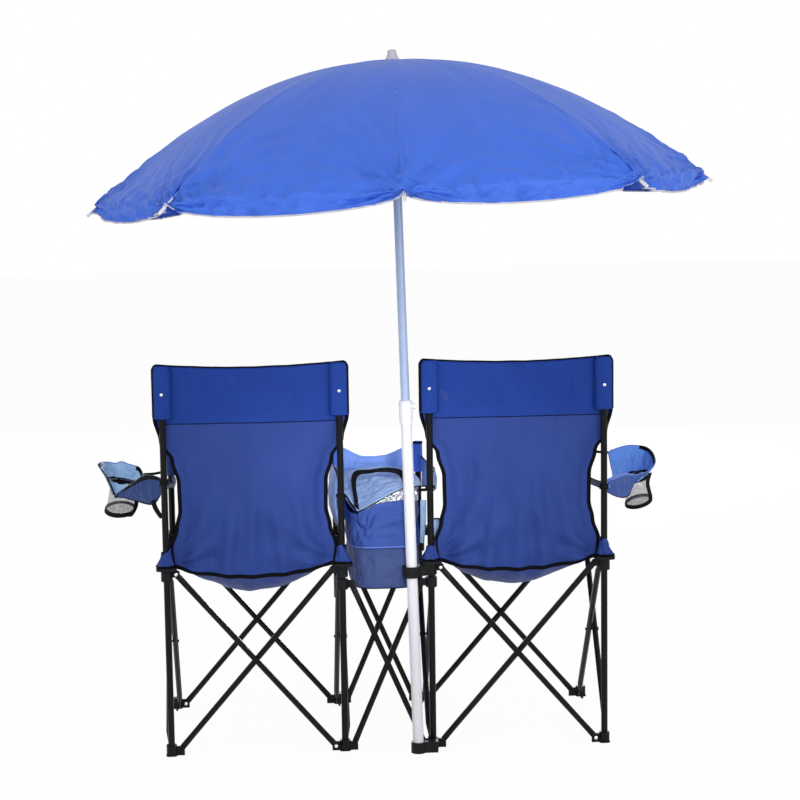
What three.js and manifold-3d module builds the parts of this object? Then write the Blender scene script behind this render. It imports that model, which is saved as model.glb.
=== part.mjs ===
// Folding double camp chair: two quad-fold chairs joined by a scissor and a cooler, with a clip-in umbrella.
// Millimetres, +Z up. The sitters look along +Y, +X is to the right when seen from behind.

import * as THREE from "three";
import { mergeVertices } from "three/addons/utils/BufferGeometryUtils.js";
import Module from "manifold-3d";

const wasm = await Module();
wasm.setup();

// Frame sizes
const chairWidth = 378;
const chairDepth = 378;
const centreGap = 193;
const hubRise = 392;
const sliderRise = 359.5;
const pivotHeight = 12;
const pivotReach = 20;
const rearPostTop = 851;
const armPostTop = 604;
const tableRise = 10;
const innerPostDrop = 150;

// Tubes
const postRadius = 7.2;
const barRadius = 6.5;
const barFlatHalf = 3;
const barEndHalfWidth = 7;
const barFlatLength = 12;
const barTaperLength = 26;
const barSplit = 0.4;

// Plastic brackets
const earHalfThickness = 2.5;
const earRadius = 8.2;
const hubRadius = 12.5;
const hubBelow = 16;
const flangeAbove = 9;
const flangeThickness = 6;
const flangeHalf = 22;
const flangeCorner = 9;
const sliderHalfHeight = 11;
const footBaseThickness = 3;
const footBaseHalf = 12;
const footHeight = 24;
const footInset = 1;

// Rivets
const rivetRadius = 2.4;
const rivetHoleRadius = 3.1;
const rivetHeadRadius = 4.6;
const rivetHeadHeight = 1.5;

// Gaps
const seatGap = 0.3;
const slideGap = 0.4;
const clothGap = 0.6;
const overrun = 2;

// Umbrella
const poleFoot = new THREE.Vector3(62, -34.5, 3.6);
const poleLeanLeft = 0.0228;
const poleLeanForward = 0.0208;
const lowerPoleRadius = 11.8;
const lowerPoleWall = 1.8;
const lowerPoleLength = 742;
const upperPoleRadius = 9.5;
const upperPoleInside = 200;
const crownHeight = 1488;
const collarRadius = 14.3;
const collarHeight = 50;
const collarLap = 22;
const knobShankRadius = 3;
const knobRadius = 7;
const knobThickness = 5;
const knobShankLength = 6;
const headTilt = 0.034;
const headRoll = 0.016;
const headTurn = 0.048;
const canopyRadius = 640;
const canopyDrop = 269;
const canopyCurve = 2.1;
const canopyThickness = 2;
const canopyPanels = 8;
const canopyStepsPerPanel = 5;
const valanceDepth = 34;
const panelFlatness = 0.8;
const ribRadius = 2.3;
const ribTipRadius = 3.6;
const ribTipLength = 22;
const ribTipOut = 7;
const crownRadius = 14;
const crownDepth = 20;
const runnerRadius = 14.5;
const runnerHeight = 26;
const runnerDrop = 205;
const strutReach = 300;
const strutHalf = 2.2;
const capRadius = 11;
const capHeight = 20;
const capSkirt = 6;
const ringPlay = 2.9;
const ringWall = 4;
const ringHeight = 24;
const ringArmHalf = 8;
const ringShift = -1.45;
const ringShiftForward = 1.25;
const socketWall = 3.5;
const socketHeight = 24;
const socketFloor = 3;
const socketPlay = 1.1;

// Cloth
const clothThickness = 2.5;
const backTop = 858;
const pocketWall = 2.4;
const pocketLength = 116;
const clothOverhang = 20;
const backWaistInset = 29;
const clothCornerInset = 11.5;
const seatSag = 52;
const backBelly = 14;
const strapHeight = 26;
const slingStepsAcross = 8;
const slingStepsDown = 13;
const cupRadius = 38;
const cupDepth = 96;
const cupWall = 2.4;
const cupTaper = 5;
const cupOut = 116;
const cupForward = 320;
const cupRimDrop = 30;
const cupRimLip = 4;
const bagHalfWidth = 78;
const bagWall = 4;
const bagRearY = 30;
const bagFrontY = 322;
const bagBottom = 353;
const bagSeam = 447;
const bagRearTop = 512;
const bagFrontTop = 570;
const lidThickness = 5;
const lidGap = 0.3;
const tableSag = 22;
const tableFrontLap = 12;
const handleHalfWidth = 42;
const handleHeight = 62;
const handleWidth = 24;
const handleThickness = 2.6;
const handleSetback = 26;

// Worked out from the sizes above
const innerX = centreGap / 2;
const outerX = innerX + chairWidth;
const span = chairWidth - 2 * pivotReach;
const centreSpan = centreGap - 2 * pivotReach;
const barLength = Math.hypot(span, hubRise);
const barAngle = Math.atan2(hubRise, span);
const sideSpan = chairDepth - 2 * pivotReach;
const sideBarLength = Math.hypot(sideSpan, hubRise);
const sideBarAngle = Math.atan2(hubRise, sideSpan);
const centreBarLength = Math.hypot(centreSpan, sliderRise);
const centreBarAngle = Math.atan2(sliderRise, centreSpan);
const hubHeight = pivotHeight + hubRise;
const sliderHeight = pivotHeight + sliderRise;
const flangeTop = hubHeight + flangeAbove + flangeThickness;

const corners = [
  { name: "left_outer", x: -outerX, inward: 1, inner: false },
  { name: "left_inner", x: -innerX, inward: -1, inner: true },
  { name: "right_inner", x: innerX, inward: 1, inner: true },
  { name: "right_outer", x: outerX, inward: -1, inner: false },
];

// Materials
function finish(color, roughness, metalness) {
  return new THREE.MeshStandardMaterial({ color, roughness, metalness });
}

const finishes = {
  tube: finish(0x23242a, 0.42, 0.55),
  plastic: finish(0x17181a, 0.6, 0),
  whiteSteel: finish(0xe9ebee, 0.35, 0.2),
  whitePlastic: finish(0xf1f1f1, 0.5, 0),
  canopyCloth: finish(0x2f5fd0, 0.4, 0),
  seatCloth: finish(0x24409f, 0.8, 0),
  armCloth: finish(0x3a63cc, 0.8, 0),
  net: finish(0xc9ccd0, 0.85, 0),
  webbing: finish(0x15161a, 0.9, 0),
};

const root = new THREE.Group();
const umbrella = new THREE.Group();

// Solids and meshes
function solidOf(geometry) {
  const bare = geometry.clone();
  bare.deleteAttribute("normal");
  bare.deleteAttribute("uv");
  const merged = mergeVertices(bare, 1e-4);
  return new wasm.Manifold(
    new wasm.Mesh({
      numProp: 3,
      vertProperties: new Float32Array(merged.attributes.position.array),
      triVerts: new Uint32Array(merged.index.array),
    }),
  );
}

function geometryOf(solid) {
  const mesh = solid.getMesh();
  const positions = new Float32Array(mesh.numVert * 3);
  for (let i = 0; i < mesh.numVert; i++) {
    positions.set(mesh.vertProperties.subarray(i * mesh.numProp, i * mesh.numProp + 3), i * 3);
  }
  const geometry = new THREE.BufferGeometry();
  geometry.setAttribute("position", new THREE.BufferAttribute(positions, 3));
  geometry.setIndex(new THREE.BufferAttribute(new Uint32Array(mesh.triVerts), 1));
  geometry.computeVertexNormals();
  return geometry;
}

function join(...geometries) {
  return geometryOf(geometries.map(solidOf).reduce((a, b) => a.add(b)));
}

function cut(geometry, ...tools) {
  return geometryOf(tools.map(solidOf).reduce((a, b) => a.subtract(b), solidOf(geometry)));
}

function addMesh(group, name, geometry, material) {
  const mesh = new THREE.Mesh(geometry, material);
  mesh.name = name;
  group.add(mesh);
  return mesh;
}

// A round rod between two points
function rod(from, to, radius, sides) {
  const direction = new THREE.Vector3().subVectors(to, from);
  const geometry = new THREE.CylinderGeometry(radius, radius, direction.length(), sides);
  geometry.rotateX(Math.PI / 2);
  const turn = new THREE.Quaternion().setFromUnitVectors(
    new THREE.Vector3(0, 0, 1),
    direction.clone().normalize(),
  );
  geometry.applyQuaternion(turn);
  geometry.translate((from.x + to.x) / 2, (from.y + to.y) / 2, (from.z + to.z) / 2);
  return geometry;
}

function upright(x, y, low, high, radius, sides) {
  return rod(new THREE.Vector3(x, y, low), new THREE.Vector3(x, y, high), radius, sides);
}

// A turned ring with its wall from inner to outer radius
function ring(innerRadius, outerRadius, low, high, sides) {
  const profile = [
    new THREE.Vector2(innerRadius, low),
    new THREE.Vector2(outerRadius, low),
    new THREE.Vector2(outerRadius, high),
    new THREE.Vector2(innerRadius, high),
    new THREE.Vector2(innerRadius, low),
  ];
  return new THREE.LatheGeometry(profile, sides).rotateX(Math.PI / 2);
}

// A turned cup that is open at its lower end
function hood(innerRadius, outerRadius, low, high, roof, sides) {
  const profile = [
    new THREE.Vector2(0, high - roof),
    new THREE.Vector2(innerRadius, high - roof),
    new THREE.Vector2(innerRadius, low),
    new THREE.Vector2(outerRadius, low),
    new THREE.Vector2(outerRadius, high),
    new THREE.Vector2(0, high),
  ];
  return new THREE.LatheGeometry(profile, sides).rotateX(Math.PI / 2);
}

function roundedPlate(halfX, halfY, corner, low, high, steps) {
  const shape = new THREE.Shape();
  shape.moveTo(-halfX + corner, -halfY);
  shape.lineTo(halfX - corner, -halfY);
  shape.absarc(halfX - corner, -halfY + corner, corner, -Math.PI / 2, 0, false);
  shape.lineTo(halfX, halfY - corner);
  shape.absarc(halfX - corner, halfY - corner, corner, 0, Math.PI / 2, false);
  shape.lineTo(-halfX + corner, halfY);
  shape.absarc(-halfX + corner, halfY - corner, corner, Math.PI / 2, Math.PI, false);
  shape.lineTo(-halfX, -halfY + corner);
  shape.absarc(-halfX + corner, -halfY + corner, corner, Math.PI, 1.5 * Math.PI, false);
  const plate = new THREE.ExtrudeGeometry(shape, {
    depth: high - low,
    bevelEnabled: false,
    curveSegments: steps,
  });
  return plate.translate(0, 0, low);
}

// A closed skin over a grid of points, thickened along its normals
function sheet(pointAt, stepsU, stepsV, thickness, loopU) {
  const columns = loopU ? stepsU : stepsU + 1;
  const rows = stepsV + 1;
  const middle = [];
  for (let j = 0; j < rows; j++) {
    for (let i = 0; i < columns; i++) middle.push(pointAt(i / stepsU, j / stepsV));
  }
  const at = (i, j) => middle[j * columns + (loopU ? (i + columns) % columns : i)];
  const positions = [];
  const normals = [];
  for (let j = 0; j < rows; j++) {
    for (let i = 0; i < columns; i++) {
      const left = at(loopU ? i - 1 : Math.max(i - 1, 0), j);
      const right = at(loopU ? i + 1 : Math.min(i + 1, stepsU), j);
      const below = at(i, Math.max(j - 1, 0));
      const above = at(i, Math.min(j + 1, stepsV));
      const normal = new THREE.Vector3()
        .subVectors(right, left)
        .cross(new THREE.Vector3().subVectors(above, below))
        .normalize();
      normals.push(normal);
    }
  }
  for (const side of [1, -1]) {
    for (let k = 0; k < middle.length; k++) {
      const point = middle[k].clone().addScaledVector(normals[k], (side * thickness) / 2);
      positions.push(point.x, point.y, point.z);
    }
  }
  const count = middle.length;
  const index = [];
  const quad = (a, b, c, d) => index.push(a, b, c, a, c, d);
  for (let j = 0; j < stepsV; j++) {
    for (let i = 0; i < stepsU; i++) {
      const next = loopU ? (i + 1) % columns : i + 1;
      const a = j * columns + i;
      const b = j * columns + next;
      const c = (j + 1) * columns + next;
      const d = (j + 1) * columns + i;
      quad(a, b, c, d);
      quad(count + b, count + a, count + d, count + c);
    }
  }
  for (let i = 0; i < stepsU; i++) {
    const next = loopU ? (i + 1) % columns : i + 1;
    const last = stepsV * columns;
    quad(i, count + i, count + next, next);
    quad(last + next, count + last + next, count + last + i, last + i);
  }
  if (!loopU) {
    for (let j = 0; j < stepsV; j++) {
      const a = j * columns;
      const b = (j + 1) * columns;
      quad(b, count + b, count + a, a);
      quad(a + stepsU, count + a + stepsU, count + b + stepsU, b + stepsU);
    }
  }
  const geometry = new THREE.BufferGeometry();
  geometry.setAttribute("position", new THREE.Float32BufferAttribute(positions, 3));
  geometry.setIndex(index);
  return geometry;
}

// A closed skin over rows of points, each row a ring of the same number of sides
function loft(positions, rows, sides) {
  const index = [];
  for (let j = 0; j < rows - 1; j++) {
    for (let i = 0; i < sides; i++) {
      const next = (i + 1) % sides;
      const a = j * sides + i;
      const b = j * sides + next;
      index.push(a, b, b + sides, a, b + sides, a + sides);
    }
  }
  const last = (rows - 1) * sides;
  for (let i = 1; i < sides - 1; i++) {
    index.push(0, i + 1, i);
    index.push(last, last + i, last + i + 1);
  }
  const geometry = new THREE.BufferGeometry();
  geometry.setAttribute("position", new THREE.Float32BufferAttribute(positions, 3));
  geometry.setIndex(index);
  return geometry;
}

// Scissor bars: a round tube pressed flat at both ends, with its rivets
function barBlank(length) {
  const sides = 8;
  const middleOffset = barSplit + barRadius;
  const endOffset = earHalfThickness + seatGap + barFlatHalf;
  const nose = barEndHalfWidth;
  const noseShares = [0.8];
  const half = [];
  for (const share of noseShares) {
    half.push([-nose * share, endOffset, barFlatHalf, nose * Math.sqrt(1 - share * share)]);
  }
  half.push([0, endOffset, barFlatHalf, nose]);
  half.push([barFlatLength, endOffset, barFlatHalf, nose]);
  half.push([barFlatLength + barTaperLength, middleOffset, barRadius, barRadius]);
  const other = half.map(([x, ...rest]) => [length - x, ...rest]).reverse();
  const stations = [...half, ...other];
  const positions = [];
  for (const [x, offset, thick, wide] of stations) {
    for (let i = 0; i < sides; i++) {
      const angle = ((i + 0.5) / sides) * 2 * Math.PI;
      positions.push(x, wide * Math.cos(angle), offset + thick * Math.sin(angle));
    }
  }
  return loft(positions, stations.length, sides);
}

function alongZ(x, low, high, radius) {
  return rod(new THREE.Vector3(x, 0, low), new THREE.Vector3(x, 0, high), radius, 6);
}

// A rivet's shank with its flared tail
function shank(x, tail, high) {
  const profile = [
    new THREE.Vector2(0, tail - rivetHeadHeight),
    new THREE.Vector2(rivetHeadRadius, tail - rivetHeadHeight),
    new THREE.Vector2(rivetRadius, tail),
    new THREE.Vector2(rivetRadius, high),
    new THREE.Vector2(0, high),
  ];
  return new THREE.LatheGeometry(profile, 6).rotateX(Math.PI / 2).translate(x, 0, 0);
}

// The bar lies along X with its ears in the plane z = 0; crossRivet says which of a pair holds the middle rivet
function barGeometry(length, crossRivet) {
  const flatTop = earHalfThickness + seatGap + 2 * barFlatHalf;
  const tail = -earHalfThickness - seatGap;
  const tubeTop = barSplit + 2 * barRadius;
  const pieces = [barBlank(length)];
  for (const x of [0, length]) {
    pieces.push(shank(x, tail, flatTop));
    pieces.push(alongZ(x, flatTop - barFlatHalf, flatTop + rivetHeadHeight, rivetHeadRadius));
  }
  const middle = length / 2;
  if (crossRivet) {
    pieces.push(shank(middle, -tubeTop - seatGap, tubeTop));
    pieces.push(alongZ(middle, tubeTop - barRadius, tubeTop + rivetHeadHeight, rivetHeadRadius));
    return join(...pieces);
  }
  return cut(join(...pieces), alongZ(middle, -overrun, tubeTop + overrun, rivetHoleRadius));
}

// Puts a bar between two pivots: run is the horizontal direction, side the normal it lies towards
function placeBar(name, foot, run, side, angle, length, crossRivet) {
  const along = run.clone().multiplyScalar(Math.cos(angle));
  along.z = Math.sin(angle);
  const across = new THREE.Vector3().crossVectors(side, along);
  const mesh = addMesh(root, name, barGeometry(length, crossRivet), finishes.tube);
  mesh.quaternion.setFromRotationMatrix(new THREE.Matrix4().makeBasis(along, across, side));
  mesh.position.copy(foot);
}

// An ear: a plate that stands out from the post towards a bar, with the rivet's hole
function ear(direction, height, low) {
  const shape = new THREE.Shape();
  shape.moveTo(0, low);
  if (low === -earRadius) shape.lineTo(pivotReach, low);
  else shape.lineTo(pivotReach + earRadius, low);
  const from = low === -earRadius ? -Math.PI / 2 : 0;
  shape.absarc(pivotReach, 0, earRadius, from, Math.PI / 2, false);
  shape.lineTo(0, earRadius);
  const hole = new THREE.Path();
  hole.absarc(pivotReach, 0, rivetHoleRadius, 0, 2 * Math.PI, true);
  shape.holes.push(hole);
  const plate = new THREE.ExtrudeGeometry(shape, {
    depth: 2 * earHalfThickness,
    bevelEnabled: false,
    curveSegments: 3,
  });
  plate.translate(0, 0, -earHalfThickness);
  plate.rotateX(Math.PI / 2);
  plate.rotateZ(Math.atan2(direction.y, direction.x));
  return plate.translate(0, 0, height);
}

const right = new THREE.Vector3(1, 0, 0);
const left = new THREE.Vector3(-1, 0, 0);
const front = new THREE.Vector3(0, 1, 0);
const back = new THREE.Vector3(0, -1, 0);

function earDirections(corner, isRear, withCentre) {
  const directions = [corner.inward > 0 ? right : left, isRear ? front : back];
  if (withCentre && corner.inner) directions.push(corner.inward > 0 ? left : right);
  return directions;
}

// Feet: a flat pad with ears that reach down to the ground
function foot(corner, isRear) {
  const ears = earDirections(corner, isRear, true).map((way) => ear(way, pivotHeight, -pivotHeight));
  return [roundedPlate(footBaseHalf, footBaseHalf, footBaseHalf / 2, 0, footBaseThickness, 1), ...ears];
}

function rearPost(corner) {
  return join(
    upright(0, 0, footBaseThickness / 2, rearPostTop, postRadius, 12),
    upright(0, 0, footBaseThickness / 2, footHeight, hubRadius - footInset, 12),
    ...foot(corner, true),
  );
}

function frontFoot(corner) {
  return join(
    upright(0, 0, footBaseThickness / 2, footHeight, hubRadius - footInset, 12),
    ...foot(corner, false),
  );
}

// Hubs: a sleeve with two ears and a flange that the seat corner lies on
function hubBody(corner, isRear) {
  const ears = earDirections(corner, isRear, false).map((way) => ear(way, hubHeight, -earRadius));
  const flange = roundedPlate(
    flangeHalf,
    flangeHalf,
    flangeCorner,
    hubHeight + flangeAbove,
    flangeTop,
    1,
  );
  return join(
    upright(0, 0, hubHeight - hubBelow, flangeTop, hubRadius, 12),
    flange,
    ...ears,
  );
}

function rearHub(corner) {
  const bore = upright(0, 0, hubHeight - hubBelow - overrun, flangeTop + overrun, postRadius + slideGap, 12);
  return cut(hubBody(corner, true), bore);
}

function armPost(corner) {
  const low = corner.inner ? hubHeight - innerPostDrop : hubHeight - hubBelow;
  const top = corner.inner ? armPostTop + tableRise : armPostTop;
  return join(hubBody(corner, false), upright(0, 0, low, top, postRadius, 12));
}

function slider(corner) {
  const direction = corner.inward > 0 ? left : right;
  const body = join(
    upright(0, 0, sliderHeight - sliderHalfHeight, sliderHeight + sliderHalfHeight, hubRadius, 12),
    ear(direction, sliderHeight, -earRadius),
  );
  const low = sliderHeight - sliderHalfHeight - overrun;
  const high = sliderHeight + sliderHalfHeight + overrun;
  return cut(body, upright(0, 0, low, high, postRadius + slideGap, 12));
}

for (const corner of corners) {
  const rear = [corner.x, 0, 0];
  const fore = [corner.x, chairDepth, 0];
  addMesh(root, `rear_post_${corner.name}`, rearPost(corner), finishes.tube).position.set(...rear);
  addMesh(root, `rear_hub_${corner.name}`, rearHub(corner), finishes.plastic).position.set(...rear);
  addMesh(root, `front_foot_${corner.name}`, frontFoot(corner), finishes.plastic).position.set(...fore);
  addMesh(root, `arm_post_${corner.name}`, armPost(corner), finishes.tube).position.set(...fore);
  if (corner.inner) {
    addMesh(root, `rear_slider_${corner.name}`, slider(corner), finishes.plastic).position.set(...rear);
    addMesh(root, `front_slider_${corner.name}`, slider(corner), finishes.plastic).position.set(...fore);
  }
}

// Scissor pairs across each chair's back and front, and across the centre gap
function crossPair(prefix, leftCorner, rightCorner, y, outward, angle, length) {
  const inwardSide = outward.clone().negate();
  const leftFoot = new THREE.Vector3(leftCorner.x + pivotReach, y, pivotHeight);
  const rightFoot = new THREE.Vector3(rightCorner.x - pivotReach, y, pivotHeight);
  placeBar(`${prefix}_${leftCorner.name}`, leftFoot, right, inwardSide, angle, length, false);
  placeBar(`${prefix}_${rightCorner.name}`, rightFoot, left, outward, angle, length, true);
}

for (const [leftCorner, rightCorner] of [corners.slice(0, 2), corners.slice(2, 4)]) {
  crossPair("rear_bar", leftCorner, rightCorner, 0, back, barAngle, barLength);
  crossPair("front_bar", leftCorner, rightCorner, chairDepth, front, barAngle, barLength);
}
crossPair("centre_rear_bar", corners[1], corners[2], 0, back, centreBarAngle, centreBarLength);
crossPair("centre_front_bar", corners[1], corners[2], chairDepth, front, centreBarAngle, centreBarLength);

// Scissor pairs along each side
for (const corner of corners) {
  const outward = corner.inward > 0 ? left : right;
  const inwardSide = corner.inward > 0 ? right : left;
  const rearFoot = new THREE.Vector3(corner.x, pivotReach, pivotHeight);
  const frontPivot = new THREE.Vector3(corner.x, chairDepth - pivotReach, pivotHeight);
  placeBar(`side_bar_rear_${corner.name}`, rearFoot, front, outward, sideBarAngle, sideBarLength, true);
  placeBar(`side_bar_front_${corner.name}`, frontPivot, back, inwardSide, sideBarAngle, sideBarLength, false);
}

// Umbrella, drawn upright round its own axis and then leaned
function lowerPole() {
  const wall = [lowerPoleRadius - lowerPoleWall, lowerPoleRadius];
  return ring(...wall, 0, lowerPoleLength, 16);
}

const upperPoleBottom = lowerPoleLength - upperPoleInside;
const collarLow = lowerPoleLength - collarLap;
const collarTop = collarLow + collarHeight;

// The collar grips the lower tube and necks in to the upper one; its boss takes the thumb screw
function collar() {
  const gripRadius = lowerPoleRadius + seatGap;
  const neckRadius = upperPoleRadius + slideGap;
  const profile = [
    new THREE.Vector2(gripRadius, collarLow),
    new THREE.Vector2(collarRadius, collarLow),
    new THREE.Vector2(collarRadius, collarTop - collarRadius / 5),
    new THREE.Vector2(collarRadius - collarRadius / 5, collarTop),
    new THREE.Vector2(neckRadius, collarTop),
    new THREE.Vector2(neckRadius, lowerPoleLength + seatGap),
    new THREE.Vector2(gripRadius, lowerPoleLength + seatGap),
    new THREE.Vector2(gripRadius, collarLow),
  ];
  const body = new THREE.LatheGeometry(profile, 16).rotateX(Math.PI / 2);
  const bossHeight = lowerPoleLength + (collarTop - lowerPoleLength) / 2;
  const boss = rod(
    new THREE.Vector3(neckRadius + seatGap, 0, bossHeight),
    new THREE.Vector3(collarRadius + bossOut, 0, bossHeight),
    bossRadius,
    10,
  );
  const hole = rod(
    new THREE.Vector3(0, 0, bossHeight),
    new THREE.Vector3(collarRadius + bossOut + overrun, 0, bossHeight),
    knobShankRadius + seatGap,
    8,
  );
  return cut(join(body, boss), hole);
}

const bossRadius = 6;
const bossOut = 1.5;
const knobHeight = lowerPoleLength + (collarTop - lowerPoleLength) / 2;

// The thumb screw: a shank with a five-lobed head
function knob() {
  const headAt = collarRadius + bossOut + seatGap;
  const shape = new THREE.Shape();
  const lobes = 5;
  const steps = 20;
  for (let i = 0; i < steps; i++) {
    const angle = (i / steps) * 2 * Math.PI;
    const radius = knobRadius * (1 - knobLobeShare * (1 - Math.cos(lobes * angle)) / 2);
    if (i === 0) shape.moveTo(radius * Math.cos(angle), radius * Math.sin(angle));
    else shape.lineTo(radius * Math.cos(angle), radius * Math.sin(angle));
  }
  const head = new THREE.ExtrudeGeometry(shape, { depth: knobThickness, bevelEnabled: false });
  head.rotateY(Math.PI / 2).translate(headAt, 0, knobHeight);
  const shank = rod(
    new THREE.Vector3(headAt - knobShankLength, 0, knobHeight),
    new THREE.Vector3(headAt + knobThickness / 2, 0, knobHeight),
    knobShankRadius,
    8,
  );
  return join(head, shank);
}

const knobLobeShare = 0.22;

umbrella.position.copy(poleFoot);
const axis = new THREE.Vector3(-poleLeanLeft, poleLeanForward, 1).normalize();
umbrella.quaternion.setFromUnitVectors(new THREE.Vector3(0, 0, 1), axis);
root.add(umbrella);

addMesh(umbrella, "umbrella_lower_pole", lowerPole(), finishes.whiteSteel);
addMesh(umbrella, "umbrella_collar", collar(), finishes.whitePlastic);
addMesh(umbrella, "umbrella_clamp_knob", knob(), finishes.whitePlastic);
const upperPoleTop = crownHeight + capSkirt;
const upperPole = ring(upperPoleRadius - lowerPoleWall, upperPoleRadius, upperPoleBottom, upperPoleTop, 14);
addMesh(umbrella, "umbrella_upper_pole", upperPole, finishes.whiteSteel);

const head = new THREE.Group();
head.position.set(0, 0, crownHeight);
head.rotation.set(-headTilt, -headRoll, -headTurn);
umbrella.add(head);

// Height of the canopy under its crown at a radius share of 1 at the rib tips
function dropAt(share) {
  return -canopyDrop * Math.pow(share, canopyCurve);
}

// Panels are nearly flat between ribs, so their edge lies inside the circle of the rib tips
function panelShare(turn) {
  const halfPanel = Math.PI / canopyPanels;
  const fromMiddle = ((turn * canopyPanels) % 1) * 2 * halfPanel - halfPanel;
  const chord = Math.cos(halfPanel) / Math.cos(fromMiddle);
  return 1 - panelFlatness * (1 - chord);
}

const canopyRings = 4;

function ringShare(row) {
  const inner = (crownRadius + canopyThickness) / canopyRadius;
  return inner + ((1 - inner) * row) / canopyRings;
}

function canopyPoint(turn, down) {
  const angle = turn * 2 * Math.PI;
  const rows = canopyRings + 1;
  const row = down * rows;
  const share = ringShare(Math.min(row, canopyRings));
  const radius = canopyRadius * share * panelShare(turn) ** share;
  const scallop = Math.sqrt(Math.abs(Math.sin(turn * canopyPanels * Math.PI)));
  const hang = row > canopyRings ? valanceDepth * Math.max(scallop, valanceTipShare) : 0;
  return new THREE.Vector3(radius * Math.cos(angle), radius * Math.sin(angle), dropAt(share) - hang);
}

const valanceTipShare = 0.02;
const canopySteps = canopyPanels * canopyStepsPerPanel;
addMesh(
  head,
  "umbrella_canopy",
  sheet(canopyPoint, canopySteps, canopyRings + 1, canopyThickness, true),
  finishes.canopyCloth,
);

// Ribs run under the canopy's seams from the crown to their tips
const ribGap = canopyThickness / 2 + 2 * seatGap + ribRadius;

function ribPoint(angle, share) {
  const slope = (canopyDrop * canopyCurve * Math.pow(share, canopyCurve - 1)) / canopyRadius;
  const lean = Math.hypot(1, slope);
  const radius = canopyRadius * share - (ribGap * slope) / lean;
  return new THREE.Vector3(
    radius * Math.cos(angle),
    radius * Math.sin(angle),
    dropAt(share) - ribGap / lean,
  );
}

// A tapered wire through stations in the upright plane at an angle round the pole
function wire(stations, angle, sides) {
  const sideways = new THREE.Vector3(-Math.sin(angle), Math.cos(angle), 0);
  const positions = [];
  stations.forEach(([point, radius], k) => {
    const before = stations[Math.max(k - 1, 0)][0];
    const after = stations[Math.min(k + 1, stations.length - 1)][0];
    const along = new THREE.Vector3().subVectors(after, before).normalize();
    const upward = new THREE.Vector3().crossVectors(along, sideways);
    for (let i = 0; i < sides; i++) {
      const turn = (i / sides) * 2 * Math.PI;
      const spot = point.clone();
      spot.addScaledVector(sideways, radius * Math.cos(turn));
      spot.addScaledVector(upward, radius * Math.sin(turn));
      positions.push(spot.x, spot.y, spot.z);
    }
  });
  return loft(positions, stations.length, sides);
}

function ribSet() {
  const pieces = [];
  for (let k = 0; k < canopyPanels; k++) {
    const angle = (k / canopyPanels) * 2 * Math.PI;
    const stations = [[ribPoint(angle, (crownRadius - overrun) / canopyRadius), ribRadius]];
    for (let row = 1; row <= canopyRings; row++) {
      stations.push([ribPoint(angle, ringShare(row)), ribRadius]);
    }
    const end = stations[stations.length - 1][0];
    const outward = end.clone().sub(stations[stations.length - 2][0]).normalize();
    for (const [reach, radius] of [
      [ribTipStart, ribRadius],
      [ribTipStart + ribRadius, ribTipRadius],
      [ribTipStart + ribTipLength, ribTipRadius],
    ]) {
      stations.push([end.clone().addScaledVector(outward, reach), radius]);
    }
    pieces.push(wire(stations, angle, 5));
  }
  const crownTop = -canopyThickness / 2 - seatGap;
  const crown = upright(0, 0, crownTop - crownDepth, crownTop, crownRadius, 14);
  const bore = upright(0, 0, -crownDepth * 2, crownDepth, upperPoleRadius + seatGap + headPlay, 14);
  return cut(join(crown, ...pieces), bore);
}

const ribTipStart = 7;
const headPlay = 1.1;
addMesh(head, "umbrella_ribs", ribSet(), finishes.whiteSteel);

// Stretchers: struts from the runner up to the ribs
function stretcherSet() {
  const low = crownHeight - runnerDrop;
  const runner = ring(upperPoleRadius + slideGap, runnerRadius, low, low + runnerHeight, 14);
  const pieces = [runner];
  const share = strutReach / canopyRadius;
  head.updateMatrix();
  for (let k = 0; k < canopyPanels; k++) {
    const angle = (k / canopyPanels) * 2 * Math.PI;
    const lean = Math.atan2(canopyDrop * canopyCurve * Math.pow(share, canopyCurve - 1), canopyRadius);
    const away = ribRadius + strutHalf + strutClear;
    const top = ribPoint(angle, share);
    top.x -= away * Math.sin(lean) * Math.cos(angle);
    top.y -= away * Math.sin(lean) * Math.sin(angle);
    top.z -= away * Math.cos(lean);
    top.applyMatrix4(head.matrix);
    const reach = runnerRadius - overrun;
    const turned = angle - headTurn;
    const foot = new THREE.Vector3(reach * Math.cos(turned), reach * Math.sin(turned), low + runnerHeight / 2);
    pieces.push(rod(foot, top, strutHalf, 5));
  }
  return join(...pieces);
}

const strutClear = 2.4;
addMesh(umbrella, "umbrella_stretchers", stretcherSet(), finishes.whiteSteel);

// The cap closes the pole over the canopy
function cap() {
  const low = canopyThickness / 2 + seatGap;
  const profile = [
    new THREE.Vector2(0, capSkirt + seatGap + capSkirt),
    new THREE.Vector2(upperPoleRadius + seatGap + headPlay, capSkirt + seatGap + capSkirt),
    new THREE.Vector2(upperPoleRadius + seatGap + headPlay, low),
    new THREE.Vector2(crownRadius + capFlare, low),
    new THREE.Vector2(capRadius + capFlare / 2, low + capSkirt),
    new THREE.Vector2(capRadius, capSkirt * 2),
    new THREE.Vector2(capRadius * capNeckShare, capHeight * capShoulderShare),
    new THREE.Vector2(capRadius * capNeckShare, capHeight),
    new THREE.Vector2(capRadius * capTopShare, capHeight + capTopRise),
    new THREE.Vector2(0, capHeight + capTopRise),
  ];
  return new THREE.LatheGeometry(profile, 12).rotateX(Math.PI / 2);
}

const capFlare = 3;
const capNeckShare = 0.86;
const capShoulderShare = 0.6;
const capTopShare = 0.55;
const capTopRise = 3;
addMesh(head, "umbrella_cap", cap(), finishes.whitePlastic);

// Where the leaned pole passes at a height
function poleAt(height) {
  const rise = height - poleFoot.z;
  return new THREE.Vector2(poleFoot.x - poleLeanLeft * rise, poleFoot.y + poleLeanForward * rise);
}

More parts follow.
